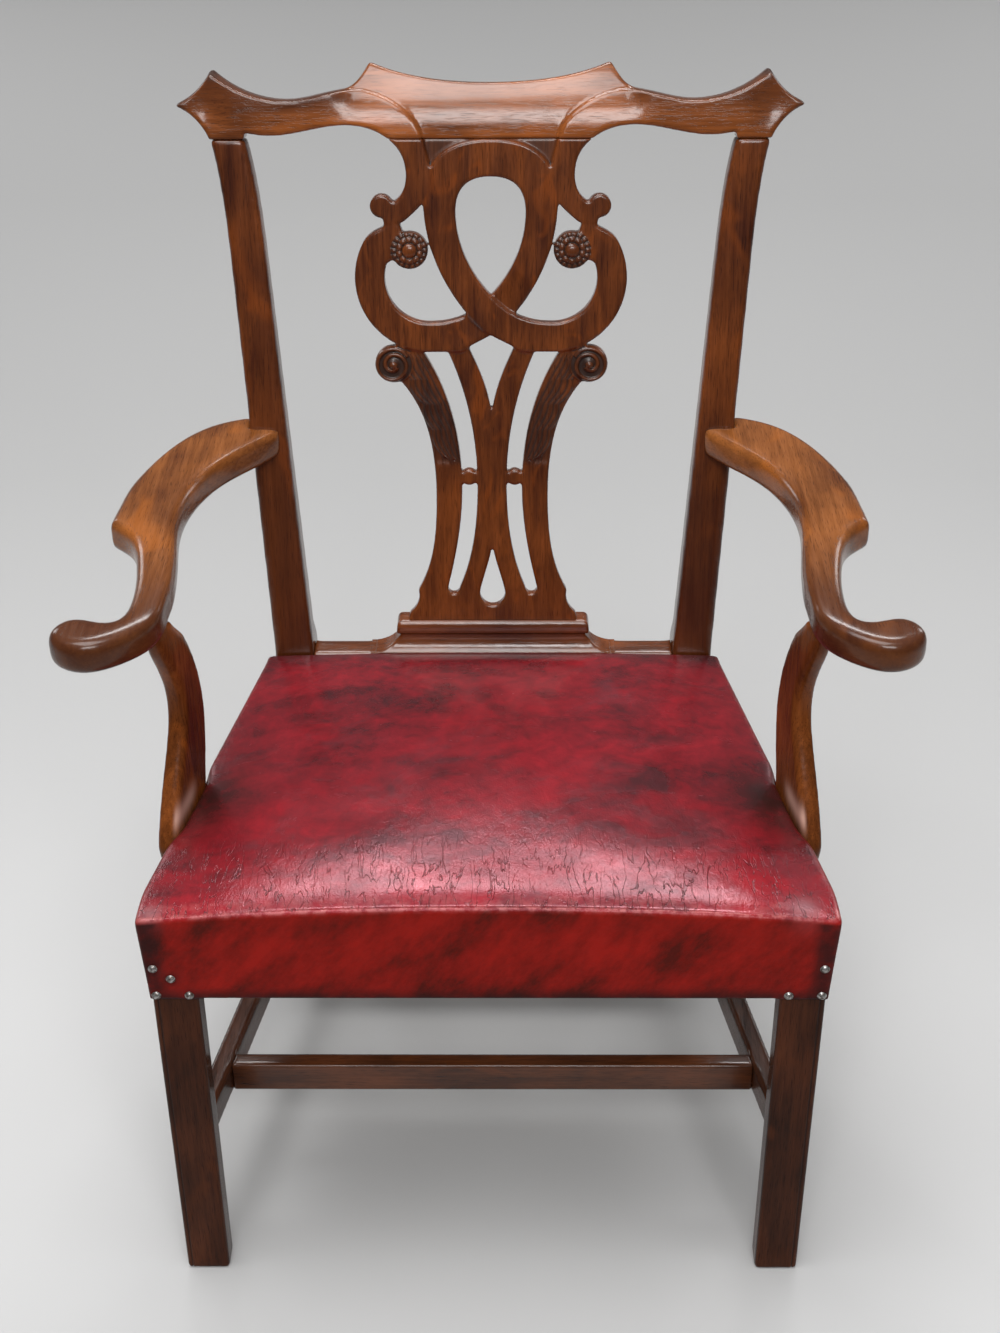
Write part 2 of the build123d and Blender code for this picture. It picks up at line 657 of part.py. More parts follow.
rear_stretcher_front = seat_depth + leg_sweep / 2 + rear_stretcher_setback
rear_stretcher_rear = rear_stretcher_front + cross_stretcher_thickness
rear_stretcher_top = rear_stretcher_bottom + stretcher_height
rear_stretcher_tenon = block(
    (0, rear_stretcher_front + cross_near, rear_stretcher_bottom + stretcher_height / 5),
    (rear_inner + rear_tenon_length, rear_stretcher_rear - cross_near,
     rear_stretcher_top - stretcher_height / 5))
rear_stretcher_half = block((0, rear_stretcher_front, rear_stretcher_bottom),
                            (rear_inner, rear_stretcher_rear, rear_stretcher_top))
rear_stretcher = two_sided(rear_stretcher_half + rear_stretcher_tenon)

# Legs with their mortises

front_leg = block((leg_inner, 0, 0), (half_front, leg_section, rail_top))
inner_corner = front_leg.edges().filter_by(Axis.Z).sort_by(lambda edge: edge.center().X - edge.center().Y)[0]
front_leg = chamfer(inner_corner, leg_chamfer)
for tenon in (front_tenon, side_tenon, side_stretcher_tenon):
    front_leg -= grown(tenon, glue_gap)
rear_leg_joined = rear_leg + crest_tenon
for tenon in (rear_tenon, side_tenon, side_stretcher_tenon, rear_stretcher_tenon):
    rear_leg_joined -= grown(tenon, glue_gap)

# Arms and their supports

support_top = arm_bottom
support_foot = rail_top - support_lap
support_x = side_x(support_y) + support_thickness / 2
support_place = Location((side_x(support_y), support_y, 0), (0, 0, rail_angle))


def make_support(grow=0.0):
    """Shaped support on the outer face of the side rail, drawn as (along the rail, up)."""
    rise = support_top - support_foot
    low = support_foot + rise * 0.18
    front = [(-support_top_front - grow, support_top),
             (-support_neck_front - grow, support_foot + rise * 0.62), (-support_foot_front - grow, low)]
    back = [(support_foot_back + grow, low), (support_neck_back + grow, support_foot + rise * 0.5),
            (support_top_back + grow, support_top)]
    outline = make_face([
        Spline(*front, tangents=[(0.5, -0.85), (-0.35, -0.95)]),
        Spline(front[-1], (0, support_foot - grow), back[0], tangents=[(0.2, -1), (-0.1, 1)]),
        Spline(*back, tangents=[(0.2, 1), (-0.62, 0.8)]),
        Line(back[-1], front[0])])
    thickness = support_thickness + grow * 2
    board = Pos(support_thickness / 2, 0, 0) * extrude(Plane.YZ * outline, thickness / 2, both=True)
    if not grow:
        edges = board.edges().filter_by(lambda edge: edge.center().Z < support_top - 1
                                        and edge.bounding_box().size.X < support_thickness / 2)
        board = fillet(edges, support_round)
    return support_place * board


arm_support = make_support()
tenon_middle = support_thickness / 2 + support_tenon_out
support_tenon_shape = support_place * block(
    (tenon_middle - support_tenon / 2, -support_tenon_width / 2, support_top - 1),
    (tenon_middle + support_tenon / 2, support_tenon_width / 2, support_top + support_tenon_length))
arm_support_joined = arm_support + support_tenon_shape

arm_up = (arm_bottom + arm_thickness / 2 - back_base) / math.cos(lean)
arm_root = Vector(stile_outer(arm_up), back_point(arm_up, 0)[0])
support_head = Vector(support_x, support_y)


def make_arm():
    """Arm drawn in plan, from the stile round the pointed shoulder to the scrolled end and back."""
    middle = (arm_root + support_head) / 2
    start = arm_root + Vector(0, arm_end_back)
    sweep = arm_root + Vector(arm_sweep, arm_end_back / 5)
    spur = support_head + Vector(arm_spur_out, arm_spur_back)
    throat = support_head + Vector(arm_throat_out, arm_throat_back)
    neck_outer = support_head + Vector(arm_neck_out, arm_neck_back)
    neck_inner = support_head + Vector(-arm_neck_in, arm_neck_back)
    scoop = support_head + Vector(arm_hollow_out, -arm_hollow_front)
    knob = support_head + Vector(arm_knob_out, -arm_knob_front)
    end_tip = arm_root + Vector(-arm_end_lap, -arm_end_lap / 15)
    outer_edge = Spline(start, sweep, middle + Vector(arm_bow_outer, arm_bow_back), spur,
                        tangents=[(1, -0.25), (0.05, -1)])
    scroll_edge = Spline(
        spur, spur + Vector(-arm_spur_under, -arm_spur_under * 1.1), throat, neck_outer, scoop,
        knob + Vector(arm_knob_radius * 0.3, arm_knob_radius), knob + Vector(arm_knob_radius, 0),
        knob + Vector(0, -arm_knob_radius), knob + Vector(-arm_knob_radius * 1.75, -arm_knob_radius * 0.3),
        support_head + Vector(-arm_palm_in, -arm_hollow_front), neck_inner,
        tangents=[(-0.7, -0.7), (-0.08, 1)], tangent_scalars=[1, 1])
    inner_edge = Spline(
        neck_inner, middle + Vector(arm_bow_inner, 0),
        middle + Vector(-arm_bow_inner / 6, arm_bow_back * 1.4), end_tip,
        tangents=[(-0.02, 1), (-0.55, 0.8)])
    end_edge = Polyline(end_tip, arm_root + Vector(-arm_end_lap, arm_end_lap / 10), start)
    outline = make_face([outer_edge, scroll_edge, inner_edge, end_edge])
    board = Pos(0, 0, arm_bottom) * extrude(outline, arm_thickness)
    return fillet(board.edges().filter_by(GeomType.BSPLINE), arm_round)


arm = make_arm() - rear_leg - grown(support_tenon_shape, glue_gap)

# Corner blocks inside the seat frame

block_high = rail_top - block_drop
block_low = block_high - block_height
front_block = upright([(leg_inner - block_leg, rail_thickness),
                       (side_x(rail_thickness, rail_thickness), rail_thickness),
                       (side_x(rail_thickness + block_leg, rail_thickness), rail_thickness + block_leg)],
                      block_low, block_high)
front_block -= block((leg_inner, 0, 0), (half_front, leg_section, rail_top))
rear_block = upright([(side_x(rear_front - block_leg, rail_thickness), rear_front - block_leg),
                      (side_x(rear_front, rail_thickness), rear_front),
                      (side_x(rear_front, rail_thickness) - block_leg, rear_front)], block_low, block_high)

# Screws. Each has a hole that takes it with a gap, opened behind the head

rail_outward = Vector(math.cos(math.radians(rail_angle)), math.sin(math.radians(rail_angle)))


def screw_shape(head, direction, length, gap, open_length):
    """Screw from the middle of its head's outer face along a direction, or its hole."""
    place = Location(Plane(head, z_dir=direction))
    shank = Pos(0, 0, length / 2) * Cylinder(screw_radius + gap, length + gap)
    cap = Cylinder(screw_head + gap, screw_head_rise + open_length)
    return place * (shank + Pos(0, 0, (screw_head_rise - open_length) / 2) * cap)


def screw_pair(head, direction, length, opening):
    """A screw and the hole for it, whose mouth is opened behind the head."""
    return screw_shape(head, direction, length, 0, 0), screw_shape(head, direction, length, hole_gap, opening)


def on_rail(y, depth):
    """Point inside the right side rail, at a depth behind its outer face, level with its block's middle."""
    return Vector(side_x(y), y, (block_low + block_high) / 2) - rail_outward * depth


block_screw_rise = block_leg / 4
block_reach = block_screw_rise + screw_grip
block_pairs = [
    screw_pair((leg_inner - block_leg / 2, rail_thickness + block_screw_rise, (block_low + block_high) / 2),
               (0, -1, 0), block_reach, block_leg),
    screw_pair(on_rail(rail_thickness + block_leg * 0.6, rail_thickness + block_screw_rise), rail_outward,
               block_reach, block_leg)]
front_block_screws = [pair[0] for pair in block_pairs]
front_block_holes = [pair[1] for pair in block_pairs]
block_pairs = [
    screw_pair((side_x(rear_front, rail_thickness) - block_leg * 0.55, rear_front - block_screw_rise,
                (block_low + block_high) / 2), (0, 1, 0), block_reach, block_leg),
    screw_pair(on_rail(rear_front - block_leg / 2, rail_thickness + block_screw_rise), rail_outward,
               block_reach, block_leg)]
rear_block_screws = [pair[0] for pair in block_pairs]
rear_block_holes = [pair[1] for pair in block_pairs]

support_screw_z = support_foot + (rail_top - support_foot) * 0.45
support_pairs = []
for along in (-support_screw_pitch / 2, support_screw_pitch / 2):
    y = support_y + along
    head = Vector(side_x(y), y, support_screw_z) - rail_outward * rail_thickness
    support_pairs.append(screw_pair(head, rail_outward, rail_thickness + screw_grip * 0.8, rail_thickness))
support_screws = [pair[0] for pair in support_pairs]
support_holes = [pair[1] for pair in support_pairs]

arm_screw_start = back_point(arm_up, stile_depth_low - screw_head_rise * 2)[0]
arm_screw_head = (arm_root.X - arm_end_lap / 3, arm_screw_start, arm_bottom + arm_thickness / 2)
arm_screw, arm_hole = screw_pair(arm_screw_head, (0, -1, 0), arm_screw_start - arm_root.Y + screw_grip * 0.65,
                                 leg_seat_depth)

front_block -= front_block_holes
rear_block -= rear_block_holes
arm -= arm_hole
rear_leg_joined -= arm_hole
arm_support_joined -= support_holes
side_rail -= support_holes + [front_block_holes[1], rear_block_holes[1]]
front_seat_rail -= [front_block_holes[0], mirror(front_block_holes[0], about=Plane.YZ)]
rear_seat_rail -= [rear_block_holes[0], mirror(rear_block_holes[0], about=Plane.YZ)]

# Webbing, woven over the seat frame. A strap lies on the rails at its ends

webbing_over = rail_top + webbing_thickness + webbing_gap
long_places = [(i - (webbing_count - 1) / 2) * webbing_pitch for i in range(webbing_count)]
cross_places = [webbing_cross_front + j * webbing_cross_pitch for j in range(webbing_count)]


def strap_end(place):
    """End of a strap across the seat, square across the side rail."""
    return side_x(place + webbing_width / 2, webbing_inset)


def woven_strap(start, end, crossings, first_over):
    """Side outline of a strap that passes over and under its crossings by turns."""
    reach = webbing_width / 2 + webbing_thickness * 2
    lower = [(start, rail_top), (start + webbing_flat, rail_top)]
    for index, place in enumerate(crossings):
        height = webbing_over if (index + first_over) % 2 else rail_top
        lower += [(place - reach, height), (place + reach, height)]
    lower += [(end - webbing_flat, rail_top), (end, rail_top)]
    upper = [(place, height + webbing_thickness) for place, height in reversed(lower)]
    return make_face(Polyline(*lower, *upper, close=True))


seat_back = seat_depth - seat_rear_gap
webbing_back = seat_back - leather - soft_gap * 2
long_straps = []
for index, place in enumerate(long_places):
    outline = woven_strap(webbing_inset, webbing_back, cross_places, index % 2)
    long_straps.append(Pos(place - webbing_width / 2, 0, 0) * extrude(Plane.YZ * outline, webbing_width))
cross_straps = []
for index, place in enumerate(cross_places):
    end = strap_end(place)
    outline = woven_strap(-end, end, long_places, (index + 1) % 2)
    cross_straps.append(Pos(0, place + webbing_width / 2, 0) * extrude(Plane.XZ * outline, webbing_width))

# Tacks

def tack(place, up, gap=0.0):
    """Flat-headed tack driven down, or up from below, with its head's inner face at a place."""
    side = 1 if up else -1
    shank = Pos(0, 0, side * tack_length / 2) * Cylinder(tack_shank + gap, tack_length + gap)
    if gap:
        return Pos(*place) * shank
    return Pos(*place) * (shank + Pos(0, 0, -side * tack_rise / 2) * Cylinder(tack_radius, tack_rise))


strap_top = rail_top + webbing_thickness
webbing_tack_places = []
for place in long_places:
    for aside in (-webbing_width / 4, webbing_width / 4):
        webbing_tack_places.append((place + aside, webbing_inset + webbing_tack_in, strap_top))
        webbing_tack_places.append((place + aside, webbing_back - webbing_tack_in, strap_top))
for place in cross_places:
    for aside in (-webbing_width / 4, webbing_width / 4):
        across = strap_end(place) - webbing_tack_in
        webbing_tack_places.append((across, place + aside, strap_top))
        webbing_tack_places.append((-across, place + aside, strap_top))
webbing_tacks = [tack(place, False) for place in webbing_tack_places]
webbing_tack_holes = [tack(place, False, hole_gap) for place in webbing_tack_places]
webbing_long = [strap - webbing_tack_holes for strap in long_straps]
webbing_cross = [strap - webbing_tack_holes for strap in cross_straps]

# Upholstery: hessian, stuffing and leather

hessian_low = webbing_over + webbing_thickness + webbing_gap
hessian_back = webbing_back
hessian = two_sided(upright([(0, hessian_inset), (side_x(leg_section, hessian_inset), hessian_inset),
                             (side_x(leg_section, hessian_inset), leg_section),
                             (side_x(hessian_back, hessian_inset), hessian_back), (0, hessian_back)],
                            hessian_low, hessian_low + hessian_thickness))


def seat_top(x, y):
    """Height of the leather's crowned top."""
    across = x / side_x(y)
    along = y / seat_depth
    crown = front_crown * (1 - along) + rear_crown * along + middle_crown * 4 * along * (1 - along)
    return crease_height + (1 - across ** 2) * crown - rear_fall * along


seat_sides = [Location((0, 0, 0), (0, 0, -90)), Location((half_front, 0, 0)),
              Location((half_front, leg_section, 0), (0, 0, rail_angle))]


def seat_form(out, bulge, back, low, high):
    """Body inside the front and sides of the seat, which lie out from the frame and lean out."""
    lean_out = bulge / (crease_height - leather_bottom)
    low_out = out + lean_out * (low - leather_bottom)
    high_out = out + lean_out * (high - leather_bottom)
    profile = make_face(Polyline((-far * 2, low), (low_out, low), (high_out, high), (-far * 2, high),
                                 close=True))
    leaning = extrude(Plane.XZ * profile, far * 2, both=True)
    body = block((-far, -far, low), (far, back, high))
    for place in seat_sides:
        for side in both(place * leaning):
            body &= side
    return body


def seat_body(out, drop, back, low):
    """Seat form from a low height to the crowned top, lowered by drop."""
    high = crease_height + front_crown + middle_crown * 2
    sides = seat_form(out, leather_bulge, back, low, high)
    steps = 8
    width = front_width / 2 + leg_section
    grid = []
    for i in range(steps + 1):
        x = width * (2 * i / steps - 1)
        grid.append([Vector(x, seat_depth * (1.2 * j / steps - 0.1), 0) for j in range(steps + 1)])
    grid = [[Vector(p.X, p.Y, seat_top(p.X, p.Y) - drop) for p in row] for row in grid]
    crown = Face.make_surface_from_array_of_points(grid)
    return sides & extrude(crown, far, dir=(0, 0, -1))


def make_cover():
    outer = seat_body(leather_gap + leather, 0, seat_back, leather_bottom)
    crease = outer.faces().sort_by(Axis.Z)[-1].edges()
    outer = fillet(crease, crease_round)
    inner_low = leather_bottom - leather
    cover = outer - seat_body(leather_gap, leather, seat_back - leather, inner_low)
    cover -= seat_form(leather_gap, 0, seat_depth, inner_low, rail_top + webbing_gap)
    turned = rail_bottom - soft_gap / 3
    under = block((0, -leather / 2, leather_bottom), (leg_inner - soft_gap, turn_under, turned))
    under += strip(-leather / 2, turn_under, leg_section + soft_gap, seat_back, leather_bottom, turned)
    cover += two_sided(under)
    return cover


support_room = both(make_support(soft_gap))
stuffing_low = hessian_low + hessian_thickness + soft_gap / 3
stuffing = seat_body(leather_gap - soft_gap, leather + soft_gap, hessian_back, stuffing_low)
leather_cover = make_cover()
for room in support_room:
    stuffing -= room
    leather_cover -= room

# Nails in the leather's front corners, four on the left and three on the right

def cover_front(z):
    """Front of the leather at a height."""
    return -leather_gap - leather - leather_bulge * (z - leather_bottom) / (crease_height - leather_bottom)


def nail(place, gap=0.0):
    """Dome-headed nail driven back from the front of the leather, or its hole."""
    shank = Rot(-90, 0, 0) * Pos(0, 0, nail_length / 2) * Cylinder(nail_shank + gap, nail_length + gap)
    if gap:
        return Pos(*place) * shank
    ball = (nail_radius ** 2 + nail_rise ** 2) / (2 * nail_rise)
    dome = Pos(0, ball - nail_rise, 0) * Sphere(ball)
    dome -= block((-ball, 0, -ball), (ball, ball * 2, ball))
    return Pos(*place) * (shank + dome)


def nail_place(x, up):
    z = leather_bottom + up
    return (x, cover_front(z + nail_radius), z)


outer_nail = half_front - nail_edge
inner_nail = leg_inner + nail_edge * 1.5
nail_places = [nail_place(x, nail_low) for x in (-outer_nail, -inner_nail, inner_nail, outer_nail)]
nail_places += [nail_place(x, nail_high) for x in (-outer_nail, outer_nail)]
nail_places.append(nail_place(-(inner_nail + outer_nail) / 2, nail_inner_high))
cover_nails = [nail(place) for place in nail_places]
nail_holes = [nail(place, hole_gap) for place in nail_places]

front_tack_count = int((leg_inner * 2 - tack_pitch) // tack_pitch)
cover_tack_places = [((i - (front_tack_count - 1) / 2) * tack_pitch, turn_under * 0.6, leather_bottom)
                     for i in range(front_tack_count)]
side_tack_count = int((seat_depth - leg_section - tack_pitch / 2) // tack_pitch)
for i in range(side_tack_count):
    y = leg_section + tack_pitch * (i + 0.6)
    cover_tack_places.append((side_x(y, turn_under * 0.6), y, leather_bottom))
    cover_tack_places.append((-side_x(y, turn_under * 0.6), y, leather_bottom))
cover_tacks = [tack(place, True) for place in cover_tack_places]
cover_tack_holes = [tack(place, True, hole_gap) for place in cover_tack_places]

leather_cover -= nail_holes + cover_tack_holes
front_seat_rail -= webbing_tack_holes + cover_tack_holes
rear_seat_rail -= webbing_tack_holes
side_rail -= webbing_tack_holes + cover_tack_holes
front_leg_left = mirror(front_leg, about=Plane.YZ) - nail_holes
front_leg_right = front_leg - nail_holes

# Every piece by name

nodes = {
    "crest_rail": crest_rail,
    "splat": splat,
    "shoe": shoe,
    "rear_seat_rail": rear_seat_rail,
    "front_seat_rail": front_seat_rail,
    "cross_stretcher": cross_stretcher,
    "rear_stretcher": rear_stretcher,
    "front_leg_left": front_leg_left,
    "front_leg_right": front_leg_right,
    "webbing_lengthwise": webbing_long,
    "webbing_crosswise": webbing_cross,
    "webbing_tacks": webbing_tacks,
    "hessian": hessian,
    "stuffing": stuffing,
    "leather_cover": leather_cover,
    "cover_nails": cover_nails,
    "cover_tacks": cover_tacks,
}
pairs = {
    "rear_leg": rear_leg_joined,
    "side_seat_rail": side_rail,
    "side_stretcher": side_stretcher,
    "arm": arm,
    "arm_support": arm_support_joined,
    "front_corner_block": front_block,
    "rear_corner_block": rear_block,
}
for name, shape in pairs.items():
    nodes[name + "_left"], nodes[name + "_right"] = both(shape)
groups = {
    "arm_screws": [arm_screw],
    "support_screws": support_screws,
    "block_screws": front_block_screws + rear_block_screws,
}
for name, screws in groups.items():
    nodes[name] = [side for screw in screws for side in both(screw)]

# The origin goes under the middle of the chair's box, on the floor

pieces = {name: shape if isinstance(shape, list) else [shape] for name, shape in nodes.items()}
boxes = [shape.bounding_box() for shapes in pieces.values() for shape in shapes]
front_end = min(box.min.Y for box in boxes)
back_end = max(box.max.Y for box in boxes)
to_middle = Pos(0, -(front_end + back_end) / 2, 0)
os.makedirs("parts", exist_ok=True)
for name, shapes in pieces.items():
    solids = [to_middle * solid for shape in shapes for solid in shape.solids()]
    export_step(solids[0] if len(solids) == 1 else Compound(solids), f"parts/{name}.step")
print("front of the legs at y =", round(-(front_end + back_end) / 2, 3))
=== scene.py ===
import math

import bmesh
import bpy
import numpy as np
import openvdb
from mathutils import Matrix, Vector


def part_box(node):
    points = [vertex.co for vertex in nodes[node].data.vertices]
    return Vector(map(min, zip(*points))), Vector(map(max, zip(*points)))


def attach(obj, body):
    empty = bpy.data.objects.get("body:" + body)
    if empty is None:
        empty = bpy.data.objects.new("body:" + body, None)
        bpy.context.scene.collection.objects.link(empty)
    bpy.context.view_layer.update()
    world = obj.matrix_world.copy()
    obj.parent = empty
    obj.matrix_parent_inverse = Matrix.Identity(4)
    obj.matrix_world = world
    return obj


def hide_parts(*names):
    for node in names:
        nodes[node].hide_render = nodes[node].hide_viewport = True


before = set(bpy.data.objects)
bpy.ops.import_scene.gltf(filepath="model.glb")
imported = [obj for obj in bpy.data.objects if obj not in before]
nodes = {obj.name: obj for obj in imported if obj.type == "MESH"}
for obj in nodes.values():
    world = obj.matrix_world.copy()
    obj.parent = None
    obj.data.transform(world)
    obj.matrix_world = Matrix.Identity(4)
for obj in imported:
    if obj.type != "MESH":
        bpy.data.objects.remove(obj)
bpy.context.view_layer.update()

# Places taken from the frame, in metres
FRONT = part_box("front_leg_left")[0].y  # front face of the front legs
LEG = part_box("front_leg_right")[1].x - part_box("front_leg_right")[0].x
HALF_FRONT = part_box("front_leg_right")[1].x
RAIL_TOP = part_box("front_seat_rail")[1].z
RAIL_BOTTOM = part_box("front_seat_rail")[0].z
BACK_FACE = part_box("rear_leg_right")[0].y  # the back's plane passes here at BACK_BASE
BACK_BASE = 0.428
RAKE = math.radians(12)
CREASE = 0.438  # height of the seat's front edge


# Camera and light

def aim_camera():
    """Camera fitted to the photo: place, pitch, yaw and roll, with the focal length in picture heights."""
    place = Vector((0.0256, FRONT - 1.2952, 1.5326))
    pitch, yaw, roll = (math.radians(a) for a in (33.044, -0.616, 0.383))
    focal_heights = 2000 / 1333
    forward = Vector((math.sin(yaw) * math.cos(pitch), math.cos(yaw) * math.cos(pitch), -math.sin(pitch)))
    right = Vector((math.cos(yaw), -math.sin(yaw), 0))
    down = forward.cross(right)
    right, down = (math.cos(roll) * right + math.sin(roll) * down,
                   math.cos(roll) * down - math.sin(roll) * right)
    data = bpy.data.cameras.new("camera")
    data.sensor_fit = "VERTICAL"
    data.lens = focal_heights * data.sensor_height
    camera = bpy.data.objects.new("camera", data)
    turned = Matrix((right, -down, -forward)).transposed().to_4x4()
    camera.matrix_world = Matrix.Translation(place) @ turned
    bpy.context.scene.collection.objects.link(camera)
    bpy.context.scene.camera = camera


def area_light(name, place, target, size, power):
    data = bpy.data.lights.new(name, "AREA")
    data.shape = "RECTANGLE"
    data.size, data.size_y = size
    data.energy = power
    light = bpy.data.objects.new(name, data)
    light.location = place
    light.rotation_euler = (Vector(target) - Vector(place)).to_track_quat("-Z", "Y").to_euler()
    bpy.context.scene.collection.objects.link(light)


# Meshes as arrays of points and faces

def read(items, key, width, kind=np.float32):
    """One property of a mesh's points, edges or faces as rows of numbers."""
    found = np.zeros(len(items) * width, kind)
    items.foreach_get(key, found)
    return found.reshape(-1, width)


def points_of(obj):
    return read(obj.data.vertices, "co", 3).astype(float)


def normals_of(obj):
    return read(obj.data.vertex_normals, "vector", 3).astype(float)


def edges_of(obj):
    return read(obj.data.edges, "vertices", 2, np.int32)


def arrays(obj):
    """Points and triangles of an object's mesh."""
    obj.data.calc_loop_triangles()
    return points_of(obj), read(obj.data.loop_triangles, "vertices", 3, np.int32)


def level_set(points, faces, voxel, band):
    """Distances from a closed mesh, within a band of voxels round it."""
    kind = "triangles" if faces.shape[1] == 3 else "quads"
    return openvdb.FloatGrid.createLevelSetFromPolygons(
        points.astype(np.float32), transform=openvdb.createLinearTransform(voxelSize=voxel), halfWidth=band,
        **{kind: faces.astype(np.uint32)})


def surface(points, faces, voxel, distance):
    """Even quads over the surface that lies a distance outside a closed mesh, or inside it if negative."""
    grid = level_set(points, faces, voxel, abs(distance) / voxel + 3)
    found, quads = grid.convertToQuads(distance)
    return found.astype(float), quads[:, ::-1].astype(np.int64)


def joined(solids):
    """Several meshes as one pair of arrays."""
    starts = np.cumsum([0] + [len(points) for points, _ in solids])
    return (np.concatenate([points for points, _ in solids]),
            np.concatenate([faces + start for (_, faces), start in zip(solids, starts)]))


def level(points, faces, voxel, band, corner, shape):
    """Distances from a closed mesh on a block of voxels, negative inside."""
    block = np.zeros(shape, np.float32)
    level_set(points, faces, voxel, band).copyToArray(block, ijk=corner)
    return block


def softened(own, others, voxel, radius):
    """One solid of a joined frame as even quads: free outward edges rounded, joints left tight.

    Also says for each point how free it is: 0 on a face inside a joint, 1 on the outside."""
    skin = 0.25 * voxel
    whole = surface(*joined([own, *others]), voxel, skin)
    whole = surface(*whole, voxel, -skin - radius)
    low = np.floor(own[0].min(axis=0) / voxel).astype(int) - 4
    shape = tuple(np.ceil(own[0].max(axis=0) / voxel).astype(int) + 5 - low)
    corner = tuple(int(i) for i in low)
    band = radius / voxel + 4
    outside = level(*whole, voxel, band, corner, shape) - radius
    grid = openvdb.FloatGrid(band * voxel)
    grid.gridClass = openvdb.GridClass.LEVEL_SET
    grid.copyFromArray(np.maximum(level(*own, voxel, band, corner, shape), outside), ijk=corner)
    grid.transform = openvdb.createLinearTransform(voxelSize=voxel)
    points, quads = grid.convertToQuads(0.0)
    spot = np.clip(np.rint(points / voxel).astype(int) - low, 0, np.array(shape) - 1)
    free = smooth_step(outside[tuple(spot.T)], -2.2 * voxel, -0.9 * voxel)
    return points.astype(float), quads[:, ::-1].astype(np.int64), free


def move_points(obj, points):
    obj.data.vertices.foreach_set("co", np.asarray(points, np.float32).ravel())
    obj.data.update()


def beside(values, edges):
    """Mean of each point's neighbours."""
    count = len(values)
    flat = values.reshape(count, -1)
    number = np.bincount(edges.ravel(), minlength=count)
    total = np.zeros_like(flat)
    for axis in range(flat.shape[1]):
        total[:, axis] = (np.bincount(edges[:, 0], flat[edges[:, 1], axis], minlength=count)
                          + np.bincount(edges[:, 1], flat[edges[:, 0], axis], minlength=count))
    return (total / np.maximum(number, 1)[:, None]).reshape(values.shape)


def eased(values, edges, steps):
    for _ in range(steps):
        values = (values + beside(values, edges)) / 2
    return values


def eased_by(points, edges, share, steps):
    """Eases points towards their neighbours, each by its own share."""
    for _ in range(steps):
        points = points + (beside(points, edges) - points) * share[:, None] / 2
    return points


def smooth_step(value, low, high):
    t = np.clip((value - low) / (high - low), 0, 1)
    return t * t * (3 - 2 * t)


def hollows(obj, sharp=0.004):
    """How far each point lies in a hollow (first) or on a convex edge (second), from 0 to 1. The hollows
    stand for grime and painted shade, the edges for wear and a painted sheen.
    """
    points, edges = points_of(obj), edges_of(obj)
    spacing = np.linalg.norm(points[edges[:, 0]] - points[edges[:, 1]], axis=1).mean()
    bend = ((beside(points, edges) - points) * normals_of(obj)).sum(axis=1) / spacing ** 2
    bend = eased(bend, edges, 4) * sharp
    return smooth_step(bend, 0.05, 0.7), smooth_step(-bend, 0.1, 0.9)


def mesh_object(name, points, faces):
    mesh = bpy.data.meshes.new(name)
    sides = faces.shape[1]
    mesh.vertices.add(len(points))
    mesh.vertices.foreach_set("co", np.asarray(points, np.float32).ravel())
    mesh.loops.add(faces.size)
    mesh.loops.foreach_set("vertex_index", np.asarray(faces, np.int32).ravel())
    mesh.polygons.add(len(faces))
    mesh.polygons.foreach_set("loop_start", np.arange(0, faces.size, sides, dtype=np.int32))
    mesh.update(calc_edges=True)
    mesh.shade_smooth()
    obj = bpy.data.objects.new(name, mesh)
    bpy.context.scene.collection.objects.link(obj)
    return obj


def mark(obj, name, values):
    """Stores one number for each point, for the materials."""
    layer = obj.data.attributes.new(name, "FLOAT", "POINT")
    layer.data.foreach_set("value", np.asarray(values, np.float32))


def values_of(obj, name):
    return read(obj.data.attributes[name].data, "value", 1).astype(float).ravel()


def islands(obj):
    """Points of each separate body of a mesh."""
    points, faces = arrays(obj)
    _, first, same = np.unique(np.round(points / 2e-5), axis=0, return_index=True, return_inverse=True)
    faces = same.ravel()[faces]
    label = np.arange(len(first))
    settled = False
    while not settled:
        lower = label.copy()
        np.minimum.at(lower, faces.ravel(), np.repeat(label[faces].min(axis=1), 3))
        settled = (lower == label).all()
        label = lower
    return [points[first[label == k]] for k in np.unique(label)]


def dress(obj, look, slot, *replaced):
    """Gives a new piece its material, and puts it in place of the solids that it stands for; its slot is not
    used.
    """
    obj.data.materials.clear()
    obj.data.materials.append(look)
    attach(obj, "root")
    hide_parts(*replaced)


# The raked back: x across, s up the back, n out of its front

def to_back(points):
    y, z = points[:, 1] - BACK_FACE, points[:, 2] - BACK_BASE
    return np.column_stack((points[:, 0], y * math.sin(RAKE) + z * math.cos(RAKE),
                            -y * math.cos(RAKE) + z * math.sin(RAKE)))


def from_back(points):
    s, n = points[:, 1], points[:, 2]
    return np.column_stack((points[:, 0], BACK_FACE + s * math.sin(RAKE) - n * math.cos(RAKE),
                            BACK_BASE + s * math.cos(RAKE) + n * math.sin(RAKE)))


# Materials

